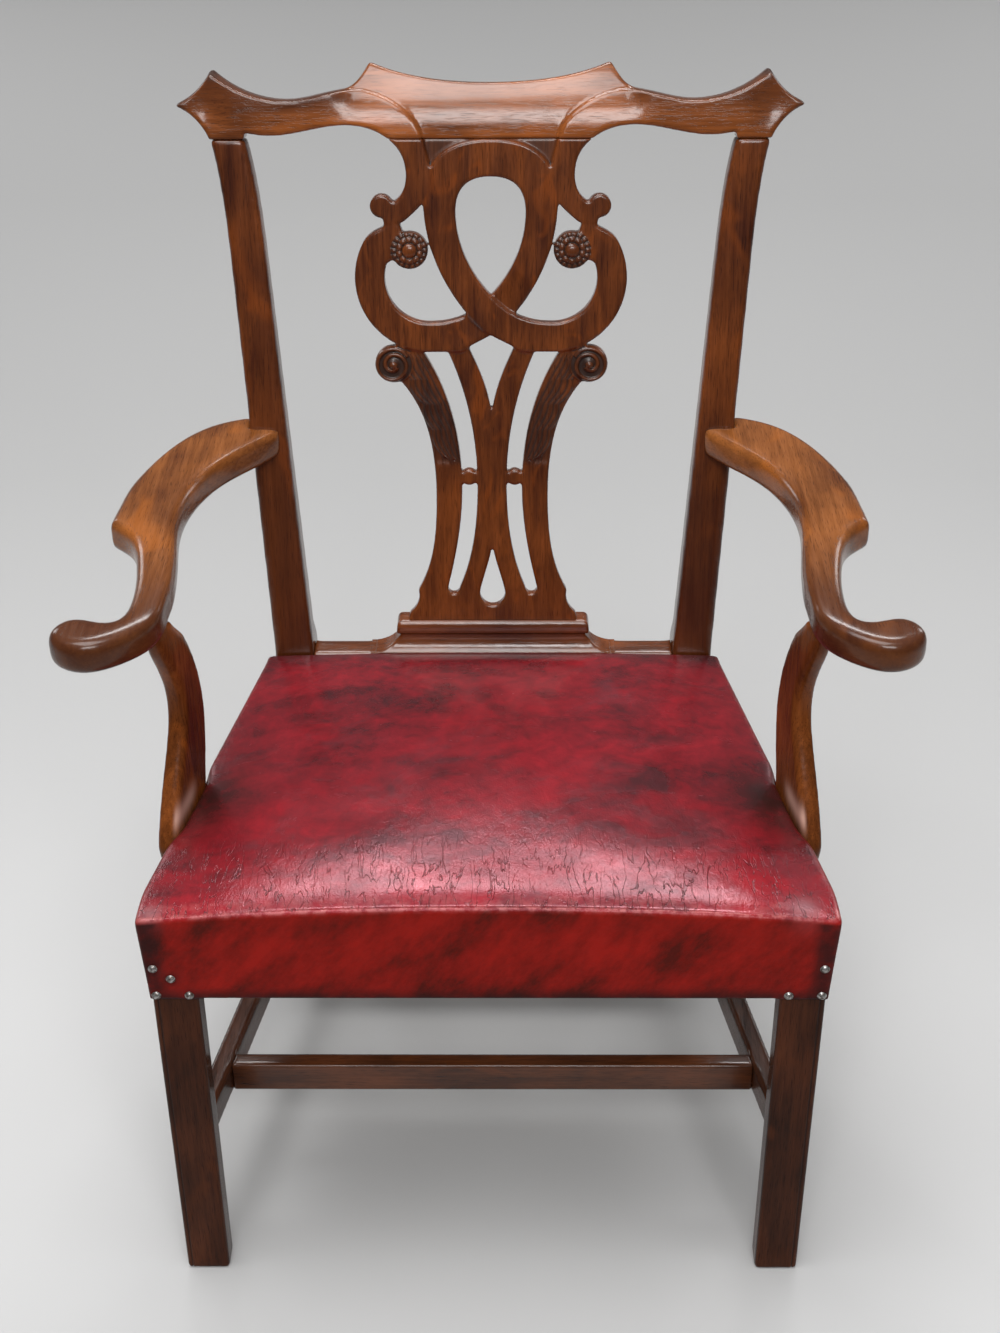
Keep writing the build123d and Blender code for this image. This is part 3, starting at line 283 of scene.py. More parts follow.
class Shader:
    """Node tree of a material or world, with short calls for the nodes used here."""

    def __init__(self, owner, last="Principled BSDF"):
        owner.use_nodes = True
        self.owner = owner
        self.tree = owner.node_tree
        self.last = self.tree.nodes[last]

    def node(self, kind, values=(), **settings):
        node = self.tree.nodes.new(kind)
        for key, value in settings.items():
            setattr(node, key, value)
        for key, value in values:
            self.feed(node.inputs[key], value)
        return node

    def feed(self, socket, value):
        if isinstance(value, bpy.types.NodeSocket):
            self.tree.links.new(value, socket)
        elif socket.type == "RGBA" and len(value) == 3:
            socket.default_value = (*value, 1)
        else:
            socket.default_value = value

    def place(self, turn=(0, 0, 0), stretch=(1, 1, 1)):
        """The chair's own coordinates, turned and then drawn out along each axis."""
        row = self.node("ShaderNodeTexCoord").outputs["Object"]
        values = (("Vector", row), ("Rotation", turn), ("Scale", stretch))
        return self.node("ShaderNodeMapping", values, vector_type="TEXTURE").outputs[0]

    def noise(self, place, scale, detail=3.0, rough=0.5, distortion=0.0):
        values = (("Vector", place), ("Scale", scale), ("Detail", detail), ("Roughness", rough),
                  ("Distortion", distortion))
        return self.node("ShaderNodeTexNoise", values).outputs["Fac"]

    def sum(self, operation, a, b=0.0):
        return self.node("ShaderNodeMath", ((0, a), (1, b)), operation=operation).outputs[0]

    def times(self, a, b):
        return self.sum("MULTIPLY", a, b)

    def span(self, value, low, high, to_low=0.0, to_high=1.0):
        values = ((0, value), (1, low), (2, high), (3, to_low), (4, to_high))
        return self.node("ShaderNodeMapRange", values, interpolation_type="SMOOTHSTEP").outputs[0]

    def mix(self, factor, a, b):
        node = self.node("ShaderNodeMix", data_type="RGBA")
        for socket, value in zip((node.inputs[0], node.inputs[6], node.inputs[7]), (factor, a, b)):
            self.feed(socket, value)
        return node.outputs[2]

    def ramp(self, factor, *stops):
        node = self.node("ShaderNodeValToRGB", (("Fac", factor),))
        band = node.color_ramp.elements
        while len(band) < len(stops):
            band.new(1.0)
        for spot, (position, colour) in zip(band, stops):
            spot.position = position
            spot.color = (*colour, 1)
        return node.outputs["Color"]

    def marked(self, name):
        return self.node("ShaderNodeAttribute", attribute_name=name).outputs["Fac"]

    def bump(self, height, strength, distance, under=None):
        values = [("Height", height), ("Strength", strength), ("Distance", distance)]
        if under is not None:
            values.append(("Normal", under))
        return self.node("ShaderNodeBump", values).outputs[0]

    def to_last(self, **values):
        for key, value in values.items():
            self.feed(self.last.inputs[key.replace("_", " ").title().replace("Ior", "IOR")], value)
        return self.owner


def material(name):
    return Shader(bpy.data.materials.new(name))


def mahogany(name, turn, dark, light, figure=1.0, gloss=1.0, smooth=0.17):
    """Polished old mahogany: ribbon figure, flame patches, streaks and pores along z after the turn."""
    s = material(name)
    ribbon = s.noise(s.place(turn, (1, 1, 5)), 26.0 * figure, 3.0, 0.55, 0.9)
    streak = s.noise(s.place(turn, (1, 1, 26)), 330.0, 3.0, 0.6)
    pore = s.noise(s.place(turn, (1, 1, 22)), 1500.0, 1.0, 0.5)
    blotch = s.noise(s.place(), 9.0, 2.0, 0.5)
    flame = s.noise(s.place(turn, (1, 1, 1.8)), 19.0 * figure, 2.0, 0.5, 0.8)
    tone = s.sum("ADD", s.times(ribbon, 0.75), s.times(streak, 0.45))
    tone = s.sum("ADD", tone, s.times(s.sum("SUBTRACT", blotch, 0.5), 0.8))
    middle = tuple((a + b) * 0.44 for a, b in zip(dark, light))
    colour = s.ramp(tone, (0.34, dark), (0.58, middle), (0.86, light))
    colour = s.mix(s.span(flame, 0.56, 0.72, 0.0, 0.5), colour, (light[0] * 1.15, light[1], light[2] * 0.6))
    pores = s.span(pore, 0.56, 0.72)
    colour = s.mix(s.times(pores, 0.55), colour, tuple(c * 0.25 for c in dark))
    # Lighter convex edges: real wear, and also a painted sheen along the edges
    wear_and_sheen = s.span(s.times(s.marked("wear_and_sheen"), s.noise(s.place(), 45.0, 4.0, 0.6)), 0.25, 0.62)
    colour = s.mix(s.times(wear_and_sheen, 0.6), colour, tuple(min(1, c * 1.5 + 0.04) for c in light))
    # Painted shade: darker arm fronts, upper crest arms and stiles below the arms
    colour = s.mix(s.times(s.marked("deep"), 0.7), colour, (0.045, 0.012, 0.005))
    # Painted highlight on the crest's middle and on the supports' feet
    colour = s.mix(s.marked("painted_highlight"), colour, (0.55, 0.33, 0.26))
    # Darker hollows, carving and joints: partly grime and dark joints, partly painted shade in creases and
    # recesses
    crevice_grime_and_shade = s.span(s.marked("hollow"), 0.08, 0.55)
    carved = s.times(s.marked("carved"), 0.85)
    grime_and_shade = s.sum("MAXIMUM", s.times(crevice_grime_and_shade, 0.85), carved)
    colour = s.mix(grime_and_shade, colour, (0.012, 0.006, 0.0045))
    rough = s.sum("ADD", s.span(streak, 0.3, 0.7, smooth, smooth + 0.1), s.times(grime_and_shade, 0.25))
    wavy = s.noise(s.place(turn, (1, 1, 3)), 60.0, 2.0, 0.5)
    bump = s.bump(wavy, 0.12, 0.003)
    bump = s.bump(s.sum("SUBTRACT", 1.0, pores), 0.18, 0.0004, bump)
    return s.to_last(base_color=colour, roughness=rough, normal=bump, coat_roughness=0.12,
                     specular_ior_level=0.3 * gloss, coat_weight=0.3 * gloss)


def red_leather():
    """Old red hide: cloudy dark and purple-grey patches, fine grain, and cracks behind the front crease."""
    s = material("red_leather")
    row = s.place()
    cloud = s.noise(s.place((0, 0, 0.4), (1.5, 0.8, 1)), 8.0, 4.0, 0.62, 0.6)
    patch = s.noise(s.place(stretch=(1.4, 0.9, 1)), 17.0, 5.0, 0.66, 0.8)
    mottle = s.noise(row, 48.0, 5.0, 0.7, 0.4)
    tone = s.sum("ADD", s.times(cloud, 0.40), s.times(patch, 0.30))
    tone = s.sum("ADD", tone, s.times(mottle, 0.3))
    colour = s.ramp(tone, (0.40, (0.045, 0.007, 0.009)), (0.47, (0.120, 0.008, 0.012)),
                    (0.56, (0.215, 0.010, 0.016)), (0.64, (0.29, 0.013, 0.020)))
    rubbed = s.noise(s.place((0, 0, 0.7), (1.3, 0.9, 1)), 13.0, 4.0, 0.62, 0.5)
    colour = s.mix(s.span(rubbed, 0.56, 0.72, 0.0, 0.35), colour, (0.10, 0.030, 0.038))
    side = s.marked("side")
    streaky = s.noise(s.place((0, 0.6, 0), (1, 1, 2.2)), 30.0, 5.0, 0.68)
    face = s.ramp(streaky, (0.34, (0.09, 0.010, 0.006)), (0.47, (0.21, 0.011, 0.007)),
                  (0.66, (0.34, 0.014, 0.009)))
    colour = s.mix(side, colour, face)
    colour = s.mix(s.times(s.marked("faded"), 0.7), colour, (0.20, 0.115, 0.125))
    # Darker places: nail halos and darker edges, with painted shadow beside the supports and painted shade
    # along the back
    dark = s.times(s.marked("dark"), s.span(s.noise(row, 60.0, 3.0, 0.6), 0.2, 0.6, 0.55, 0.95))
    colour = s.mix(dark, colour, (0.020, 0.009, 0.008))
    waver = s.noise(s.place(stretch=(1, 4.5, 1)), 110.0, 2.5, 0.55, 0.5)
    crack = s.span(s.sum("ABSOLUTE", s.sum("SUBTRACT", waver, 0.5)), 0.0, 0.022, 1.0, 0.0)
    near = s.times(s.marked("crackled"), s.span(s.noise(row, 26.0, 3.0, 0.6), 0.38, 0.56))
    line = s.times(crack, near)
    colour = s.mix(s.times(line, 0.75), colour, (0.022, 0.007, 0.008))
    # Crease: real wear, with a painted highlight along it
    wear_and_sheen = s.times(s.marked("wear_and_sheen"), s.span(s.noise(row, 120.0, 4.0, 0.7), 0.4, 0.6))
    colour = s.mix(s.times(wear_and_sheen, 0.6), colour, (0.50, 0.17, 0.16))
    grain = s.node("ShaderNodeTexVoronoi", (("Vector", row), ("Scale", 620.0))).outputs["Distance"]
    crumple = s.noise(s.place(stretch=(1, 1.6, 1)), 70.0, 4.0, 0.62, 0.5)
    rough = s.sum("ADD", s.span(patch, 0.3, 0.7, 0.30, 0.19), s.times(side, 0.15))
    bump = s.bump(crumple, 0.22, 0.0022)
    bump = s.bump(grain, 0.10, 0.0005, bump)
    bump = s.bump(s.sum("SUBTRACT", 1.0, line), 0.6, 0.0006, bump)
    return s.to_last(base_color=colour, roughness=rough, normal=bump, coat_roughness=0.16,
                     coat_weight=s.span(side, 0.0, 1.0, 0.08, 0.0),
                     specular_ior_level=s.span(side, 0.0, 1.0, 0.62, 0.07), specular_tint=(1.0, 0.42, 0.52))


def old_metal(name, colour, dull, rough):
    """Worn metal with dull patches."""
    s = material(name)
    patch = s.noise(s.place(), 420.0, 4.0, 0.6)
    tone = s.mix(s.span(patch, 0.4, 0.65), colour, dull)
    scuff = s.noise(s.place(), 2200.0, 2.0, 0.5)
    return s.to_last(base_color=tone, metallic=0.9, roughness=s.span(patch, 0.3, 0.7, rough, rough + 0.25),
                     normal=s.bump(scuff, 0.15, 0.0002))


def woven(name, thread, pale, dark, turn=(0, 0, 0)):
    """Plain weave: over and under threads in two directions, with slubs."""
    s = material(name)
    place = s.place(turn)
    values = (("Vector", place), ("Scale", 0.314 / thread), ("Distortion", 0.6))
    warp, weft = (s.node("ShaderNodeTexWave", values, bands_direction=axis).outputs["Fac"] for axis in "XY")
    weave = s.times(warp, weft)
    slub = s.noise(s.place(turn, (6, 1, 1)), 240.0, 3.0, 0.6)
    tone = s.sum("ADD", s.times(weave, 0.7), s.times(slub, 0.5))
    colour = s.ramp(tone, (0.2, dark), (0.75, pale))
    return s.to_last(base_color=colour, roughness=0.9, normal=s.bump(weave, 0.6, thread * 0.4))


FLOOR_HALF = 20
FLOOR_NEAR, FLOOR_FAR = -1.6, 4.4
FLOOR_TONES = ((-1.5, 0.18), (-0.75, 0.42), (-0.35, 0.54), (0.1, 0.53), (0.7, 0.475),  # y and grey
               (1.35, 0.43), (1.65, 0.43), (2.65, 0.45), (4.2, 0.56))


def studio_floor():
    """Pale grey floor with painted light and shade: its tone evens out the light behind the chair, and it is
    painted dark well in front of it.
    """
    s = material("studio_floor")
    depth = s.node("ShaderNodeSeparateXYZ", ((0, s.place()),)).outputs["Y"]
    share = s.sum("DIVIDE", s.sum("SUBTRACT", depth, FLOOR_NEAR), FLOOR_FAR - FLOOR_NEAR)
    colour = s.ramp(share, *(((y - FLOOR_NEAR) / (FLOOR_FAR - FLOOR_NEAR), (tone, tone, tone))
                             for y, tone in FLOOR_TONES))
    return s.to_last(base_color=colour, roughness=0.9)


def studio_world():
    """Dim all round and brighter overhead."""
    s = Shader(bpy.data.worlds.new("studio"), "Background")
    direction = s.node("ShaderNodeTexCoord").outputs["Generated"]
    up = s.node("ShaderNodeSeparateXYZ", ((0, direction),)).outputs["Z"]
    return s.to_last(color=s.ramp(up, (0.5, (0.15, 0.15, 0.15)), (0.95, (0.55, 0.545, 0.54))), strength=1.0)


def set_stage():
    corners = FLOOR_HALF * np.array([(-1, -1, 0), (1, -1, 0), (1, 1, 0), (-1, 1, 0)], float)
    floor = mesh_object("floor", corners, np.array([[0, 1, 2, 3]]))
    floor.data.materials.append(studio_floor())
    bpy.context.scene.world = studio_world()
    area_light("overhead", (-0.4, -0.4, 3.1), (0, 0.05, 0.4), (1.9, 1.4), 60)
    area_light("behind", (0.1, 2.0, 3.05), (0, -0.1, 0.45), (2.0, 0.36), 44)
    area_light("front", (0.15, -2.3, 2.5), (0, 0.2, 0.8), (1.5, 0.8), 46)
    for side in (-1, 1):
        area_light("backdrop", (2.7 * side, 3.3, 1.9), (0, 3.3, 0), (1.2, 1.2), 20)


# Wooden pieces

ALONG_X = (0, math.radians(90), 0)
ALONG_Y = (math.radians(90), 0, 0)
ALONG_Z = (0, 0, 0)
ALONG_BACK = (-RAKE, 0, 0)
BROWN = (0.042, 0.0088, 0.0025)
TAWNY = (0.175, 0.044, 0.0085)


# Carving of the splat, in millimetres on the back's plane: |x| across and s up
ROSETTE = (77.2, 410.3)
ROSETTE_RADIUS = 17.5
VOLUTE = (94.8, 300.0)
VOLUTE_RADIUS = 18.0
VOLUTE_SUNK = 1.3
RIB_INNER = ((29.6, 192.2), (32.3, 215.7), (38.2, 243.3), (46.1, 266.3), (56.9, 293.4), (67.8, 312.0))
RIB_OUTER = ((57.9, 192.2), (59.6, 210.0), (64.0, 230.6), (73.4, 260.0), (88.4, 283.5), (96.0, 312.0))
LEAF_FOOT, LEAF_TOP = 203.0, 306.0


def ring(r, low, high):
    """Rounded ridge between two radii."""
    return np.sqrt(np.clip(1 - ((r - (low + high) / 2) / ((high - low) / 2)) ** 2, 0, 1))


def rosette_relief(x, s):
    """Two rings of petals round a plain boss."""
    dx, ds = x - ROSETTE[0], s - ROSETTE[1]
    r, angle = np.hypot(dx, ds), np.arctan2(ds, dx)
    inside = smooth_step(r, ROSETTE_RADIUS + 0.6, ROSETTE_RADIUS - 0.2)
    outer = 1.6 * ring(r, 12.4, 18.0) * (0.2 + 0.8 * np.abs(np.cos(9 * angle)) ** 0.7)
    inner = 2.3 * ring(r, 7.4, 13.2) * (0.3 + 0.7 * np.abs(np.sin(5 * angle)) ** 0.6)
    boss = 3.0 * ring(r, -7.0, 7.0)
    plain = smooth_step(r, 7.2, 6.4)
    return (np.maximum(np.maximum(outer, inner), boss) - 1.2) * inside, inside * (1 - 0.75 * plain)


def volute_relief(x, s):
    """A raised rim that winds in to a round eye."""
    dx, ds = x - VOLUTE[0], s - VOLUTE[1]
    r = np.hypot(dx, ds)
    turn = 2 * math.pi - np.mod(np.arctan2(ds, dx) - math.radians(150), 2 * math.pi)
    inside = smooth_step(r, VOLUTE_RADIUS + 0.4, VOLUTE_RADIUS - 0.6)
    height = np.full_like(r, -VOLUTE_SUNK)
    for lap in (0, 1):
        wound = turn + 2 * math.pi * lap
        rim = 15.8 - np.clip(wound - math.radians(190), 0, None) * 1.42
        ridge = np.exp(-((r - rim) / 1.9) ** 4)
        rim_height = 1.2 * ridge - VOLUTE_SUNK * (1 - ridge)
        height = np.maximum(height, np.where(rim > 4.2, rim_height, -VOLUTE_SUNK))
    height = np.maximum(height, 2.6 * ring(r, -4.0, 4.0) - 1.0)
    return height * inside, inside


def leaf_relief(x, s):
    """A fluted leaf that runs down a rib from the volute, with a lobed outer edge."""
    inner, outer = (np.interp(s, *np.array(rib).T[::-1]) for rib in (RIB_INNER, RIB_OUTER))
    t = (x - inner) / (outer - inner)
    down = np.clip((LEAF_TOP - s) / (LEAF_TOP - LEAF_FOOT), 0, 1.1)
    lobes = 0.13 * np.abs(np.sin(math.pi * 4.2 * down ** 0.9))
    edge = 0.60 + 0.16 * np.sin(math.pi * np.clip(down, 0, 1)) + lobes
    edge = edge - 0.5 * smooth_step(down, 0.93, 1.02) * np.abs(np.sin(math.pi * 3.2 * t))
    away = np.hypot(x - VOLUTE[0], s - VOLUTE[1])
    reach = (smooth_step(s, LEAF_FOOT - 5, LEAF_FOOT + 3) * smooth_step(s, LEAF_TOP + 8, LEAF_TOP - 2)
             * smooth_step(away, VOLUTE_RADIUS - 0.5, VOLUTE_RADIUS + 1.5)
             * smooth_step(t, -0.12, 0.02) * smooth_step(t, 1.3, 1.0))
    on_leaf = smooth_step(t, edge + 0.04, edge - 0.05)
    flute = np.abs(np.sin(math.pi * (4.5 * t / np.maximum(edge, 0.3) + 1.6 * down))) ** 0.6
    return (on_leaf * (0.35 + 1.35 * flute) - 1.1) * reach, reach * (0.35 + 0.65 * on_leaf)


OUT = np.array((0, -math.cos(RAKE), math.sin(RAKE)))  # straight out of the back's front
GROUND_DEPTH = 3.0  # the recessed ground lies deeper than this
GROUND_FOOT = 430.0


def carve_splat(obj):
    """Carves rosettes, volutes and leaves into the splat's front, and marks where the carving holds dirt,
    with painted shade on the recessed ground.
    """
    def reliefs(points):
        place = to_back(points) * 1000
        x, s = np.abs(place[:, 0]), place[:, 1]
        return [relief(x, s) for relief in (rosette_relief, volute_relief, leaf_relief)]

    facing = normals_of(obj) @ OUT
    carved = sum(part for _, part in reliefs(points_of(obj)))
    refine(obj, (carved > 0.01) & (facing > -0.2))
    points = points_of(obj)
    place = to_back(points) * 1000
    facing = smooth_step(normals_of(obj) @ OUT, 0.15, 0.6)
    found = reliefs(points)
    height = sum(part for part, _ in found) * facing
    move_points(obj, points + height[:, None] / 1000 * OUT)
    dirt = sum(part for _, part in found) * (0.35 + 0.65 * smooth_step(height, 0.55, -0.5))
    # Painted shade on the recessed ground round the carving
    shaded_ground = smooth_step(place[:, 2], 0.8 - GROUND_DEPTH, -GROUND_DEPTH) * (place[:, 1] > GROUND_FOOT)
    mark(obj, "carved", np.maximum(dirt, 0.55 * shaded_ground) * facing)


CREST_JOINT = 0.513  # foot of the crest up the back
CREST_ROLL = 0.095  # radius by which its solid rolls back
EAR = (0.264, 0.543)  # middle of an ear on the back's plane
EAR_TIPS = ((0.293, 0.543), (0.260, 0.574))
EAR_REACH = 0.030
EAR_DISH = 0.0032


def shape_crest(obj):
    """Flattens the crest's arms, dishes its ears, paints shade on the upper arms and the ear tips, and
    paints a highlight on the middle.
    """
    points = points_of(obj)
    place = to_back(points)
    facing = smooth_step(normals_of(obj) @ OUT, 0.4, 0.8)
    x, s = np.abs(place[:, 0]), place[:, 1]
    dish = EAR_DISH * smooth_step(np.hypot(x - EAR[0], s - EAR[1]), EAR_REACH, 0)
    up = np.clip(s - CREST_JOINT, 0, CREST_ROLL * 0.9)
    unrolled = 0.8 * (CREST_ROLL - np.sqrt(CREST_ROLL ** 2 - up ** 2)) * smooth_step(x, 0.125, 0.155)
    move_points(obj, points + ((unrolled - dish) * facing)[:, None] * OUT)
    # Painted shade at the ear tips, standing in for their curled-back ends
    tips = [smooth_step(np.hypot(x - tip[0], s - tip[1]), 0.014, 0.002) for tip in EAR_TIPS]
    mark(obj, "carved", 0.75 * np.maximum(*tips))
    # Painted shade on the crest's upper arms
    mark(obj, "deep", 0.9 * smooth_step(s, 0.530, 0.552) * smooth_step(x, 0.11, 0.15))
    # Painted highlight on the crest's middle
    mark(obj, "painted_highlight", 0.3 * smooth_step(s, 0.532, 0.556) * smooth_step(x, 0.13, 0.07) * facing)


SPUR = (0.3427, FRONT + 0.285)  # the arm's pointed shoulder in plan
SUPPORT_HEAD = (0.2817, FRONT + 0.150)
ARM_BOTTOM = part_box("arm_right")[0].z
ARM_EASING = 28  # steps of easing over each piece
SUPPORT_EASING = 12
STILE_EASING = 5
HEAD_TUCK = 0.2  # share by which a support's head draws in under the arm
HEAD_HEIGHT = 0.030
FOOT_HIGHLIGHT = CREASE + 0.010  # middle and spread of the painted highlight on a support's foot
FOOT_HIGHLIGHT_SPREAD = 0.009


def shape_arm(obj):
    """Rounds an arm's section, apart from its pointed shoulder and its joint, and paints shade on its front.
    """
    points, edges = points_of(obj), edges_of(obj)
    away = np.hypot(np.abs(points[:, 0]) - SPUR[0], points[:, 1] - SPUR[1])
    joint = np.hypot(np.abs(points[:, 0]) - SUPPORT_HEAD[0], points[:, 1] - SUPPORT_HEAD[1])
    middle = points[:, 2].mean()
    low = smooth_step(points[:, 2], middle + 0.010, middle - 0.006)
    inner = smooth_step(np.abs(points[:, 0]), SUPPORT_HEAD[0] - 0.001, SUPPORT_HEAD[0] - 0.008)
    by_joint = smooth_step(joint, 0.075, 0.028) * np.maximum(low, inner)
    loose = values_of(obj, "free") * smooth_step(away, 0.012, 0.04) * (1 - by_joint)
    points = eased_by(points, edges, loose, ARM_EASING)
    move_points(obj, points)
    # Painted shade over the arm's front part
    mark(obj, "deep", smooth_step(points[:, 1], SPUR[1] - 0.02, SPUR[1] - 0.16))


def shape_support(obj):
    """Rounds a support's edges, tucks its head in under the arm and paints a highlight on the inside of its
    foot.
    """
    points = eased_by(points_of(obj), edges_of(obj), values_of(obj, "free"), SUPPORT_EASING)
    side = math.copysign(1, points[:, 0].mean())
    tuck = HEAD_TUCK * smooth_step(points[:, 2], ARM_BOTTOM - HEAD_HEIGHT, ARM_BOTTOM)
    head = np.array((side * SUPPORT_HEAD[0], SUPPORT_HEAD[1]))
    points[:, :2] += (head - points[:, :2]) * tuck[:, None]
    move_points(obj, points)
    inward = smooth_step(-side * normals_of(obj)[:, 0], 0.1, 0.6)
    foot = np.exp(-((points[:, 2] - FOOT_HIGHLIGHT) / FOOT_HIGHLIGHT_SPREAD) ** 2)
    front = smooth_step(points[:, 1], SUPPORT_HEAD[1] + 0.030, SUPPORT_HEAD[1] + 0.005)
    # Painted highlight on the inside of the foot
    mark(obj, "painted_highlight", 0.95 * inward * foot * front)


def shape_stile(obj):
    """Evens out a rear leg's slanting edges, and paints shade on it below the arm."""
    points = points_of(obj)
    even = eased(points, edges_of(obj), STILE_EASING)
    move_points(obj, points + (even - points) * values_of(obj, "free")[:, None])
    # Painted shade below the arm
    mark(obj, "deep", 0.75 * smooth_step(points[:, 2], 0.70, 0.52))


BEAD_IN = 0.0048  # scratched line in from a front leg's outer corner
BEAD_WIDTH = 0.0007
BEAD_DEPTH = 0.0008


def scratch_bead(obj):
    """Scratches a line down each face beside a front leg's outer corner."""
    def lines(points):
        in_side, in_front = HALF_FRONT - np.abs(points[:, 0]), points[:, 1] - FRONT
        away = np.where(in_front < in_side, np.abs(in_side - BEAD_IN), np.abs(in_front - BEAD_IN))
        return np.where(np.maximum(in_front, in_side) < 2 * BEAD_IN, away, 1.0)

    for reach in (0.0045, 0.0030):
        refine(obj, lines(points_of(obj)) < reach)
    points = points_of(obj)
    scratch = np.exp(-(lines(points) / BEAD_WIDTH) ** 2)
    move_points(obj, points - (BEAD_DEPTH * scratch)[:, None] * normals_of(obj))
    mark(obj, "carved", 0.8 * scratch)


def refine(obj, chosen):
    """Halves the faces whose points are all chosen."""
    work = bmesh.new()
    work.from_mesh(obj.data)
    edges = {e for f in work.faces if all(chosen[v.index] for v in f.verts) for e in f.edges}
    bmesh.ops.subdivide_edges(work, edges=list(edges), cuts=1, use_grid_fill=True)
    bmesh.ops.triangulate(work, faces=[f for f in work.faces if len(f.verts) > 4])
    work.to_mesh(obj.data)
    work.free()
    obj.data.shade_smooth()


JOINED = {
    "crest_rail": ("splat", "rear_leg_left", "rear_leg_right"),
    "splat": ("crest_rail", "shoe"),
    "shoe": ("splat", "rear_seat_rail"),
    "rear_seat_rail": ("shoe", "rear_leg_left", "rear_leg_right"),
    "cross_stretcher": ("side_stretcher_left", "side_stretcher_right"),
    "rear_stretcher": ("rear_leg_left", "rear_leg_right"),
}
for side in ("left", "right"):
    JOINED.update({name + "_" + side: others for name, others in {
        "rear_leg": ("crest_rail", "arm_" + side, "rear_seat_rail", "side_stretcher_" + side,
                     "rear_stretcher"),
        "arm": ("rear_leg_" + side, "arm_support_" + side),
        "arm_support": ("arm_" + side,),
        "front_leg": ("side_stretcher_" + side, "front_seat_rail", "side_seat_rail_" + side),
        "side_stretcher": ("front_leg_" + side, "rear_leg_" + side, "cross_stretcher"),
    }.items()})


def wooden(node, look, voxel, radius, in_back=False, shape=None):
    """Remakes a wooden solid with softened free edges, shapes it, and marks its hollows and joints (grime,
    dark joints and painted shade) and its convex edges (wear and a painted sheen).
    """
    solids = [arrays(nodes[name]) for name in (node, *JOINED.get(node, ()))]
    if in_back:
        solids = [(to_back(points), faces) for points, faces in solids]
    points, faces, free = softened(solids[0], solids[1:], voxel, radius)
    if in_back:
        points = from_back(points)
    obj = mesh_object("wood_" + node, points, faces)
    edges = edges_of(obj)
    move_points(obj, points + (eased(points, edges, 2) - points) * free[:, None])
    mark(obj, "free", free)
    if shape:
        shape(obj)
    hollow, wear_and_sheen = hollows(obj)
    free = values_of(obj, "free")
    # Hollows and joint lines darker: grime and dark joints, with painted shade in the hollows
    mark(obj, "hollow", np.maximum(hollow * free, 0.35 * (1 - free)))
    # Convex edges: real wear, with a painted sheen
    mark(obj, "wear_and_sheen", wear_and_sheen * free)
    dress(obj, look, "mahogany", node)


def make_wood():
    back = mahogany("back_wood", ALONG_BACK, BROWN, TAWNY)
    splat = mahogany("splat_wood", ALONG_BACK, BROWN, TAWNY, figure=2.4)
    # The crest's wood has lighter tones than the back's, partly as painted light on its well-lit front
    crest = mahogany("crest_wood", ALONG_X, (0.05, 0.012, 0.003), (0.32, 0.088, 0.017), smooth=0.12)
    shoe = mahogany("shoe_wood", ALONG_X, BROWN, TAWNY, gloss=1.4)
    arm = mahogany("arm_wood", ALONG_Y, (0.072, 0.018, 0.0045), (0.30, 0.098, 0.022), gloss=0.8)
    support = mahogany("support_wood", ALONG_Z, (0.045, 0.0115, 0.0035), (0.27, 0.075, 0.016), gloss=0.2)
    upright = mahogany("leg_wood", ALONG_Z, (0.018, 0.006, 0.003), (0.085, 0.024, 0.009), gloss=0.22)
    lying = mahogany("stretcher_wood", ALONG_X, (0.024, 0.008, 0.004), (0.14, 0.042, 0.015))
    running = mahogany("side_wood", ALONG_Y, (0.024, 0.008, 0.004), (0.12, 0.036, 0.014), gloss=0.6)
    wooden("splat", splat, 0.00125, 0.0009, True, carve_splat)
    wooden("crest_rail", crest, 0.0014, 0.0012, True, shape_crest)
    wooden("shoe", shoe, 0.0010, 0.0007)
    for side in ("left", "right"):
        wooden("rear_leg_" + side, back, 0.0022, 0.0028, shape=shape_stile)
        wooden("arm_" + side, arm, 0.0016, 0.004, shape=shape_arm)
        wooden("arm_support_" + side, support, 0.0016, 0.003, shape=shape_support)
        wooden("front_leg_" + side, upright, 0.0018, 0.0016, shape=scratch_bead)
        wooden("side_stretcher_" + side, running, 0.0018, 0.0014)
        wooden("side_seat_rail_" + side, running, 0.0030, 0.0010)
        for end in ("front", "rear"):
            wooden(end + "_corner_block_" + side, running, 0.0020, 0.0010)
    wooden("cross_stretcher", lying, 0.0016, 0.0014)
    wooden("rear_stretcher", lying, 0.0018, 0.0014)
    wooden("rear_seat_rail", shoe, 0.0022, 0.0018)
    wooden("front_seat_rail", lying, 0.0030, 0.0010)


# Seat

SEAT_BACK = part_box("leather_cover")[1].y - FRONT
SEAT_DEPTH = BACK_FACE - FRONT
HALF_BACK = 0.223  # half of the seat frame's width at the back
RAIL_SLOPE = (HALF_FRONT - HALF_BACK) / (SEAT_DEPTH - LEG)
LEATHER = 0.002
LEATHER_BOTTOM = RAIL_BOTTOM - LEATHER
BULGE = 0.004  # the sides swell out this far near the crease
CREASE_ROUND = 0.005
CROWN_FRONT = 0.014  # rise of the top's middle over its edges: front, back, and more half way
CROWN_BACK = 0.004
CROWN_MIDDLE = 0.016
SEAT_FALL = 0.008  # the top is lower at the back
FADED_CORNERS = ((-0.285, 0.004, 0.010), (0.268, 0.010, 0.013))  # x, from the front, and reach
TURN_UNDER = 0.014
SLACK = 0.003  # the top starts lower by this
SWELL = 0.006  # and swells by this at most
CLOTH_STEPS = 20
EDGE_EASING = 9
LEG_GAP = 0.0015  # leather under the rails stops short of the legs
SUPPORT_GAP = 0.0004
PRESS_RUN = 0.007  # run over which the leather goes in behind a support
LEAN_RUN = 0.02  # run over which its rows follow a support's outline
LEAN_DROP = 0.012  # height below the crease over which they begin to
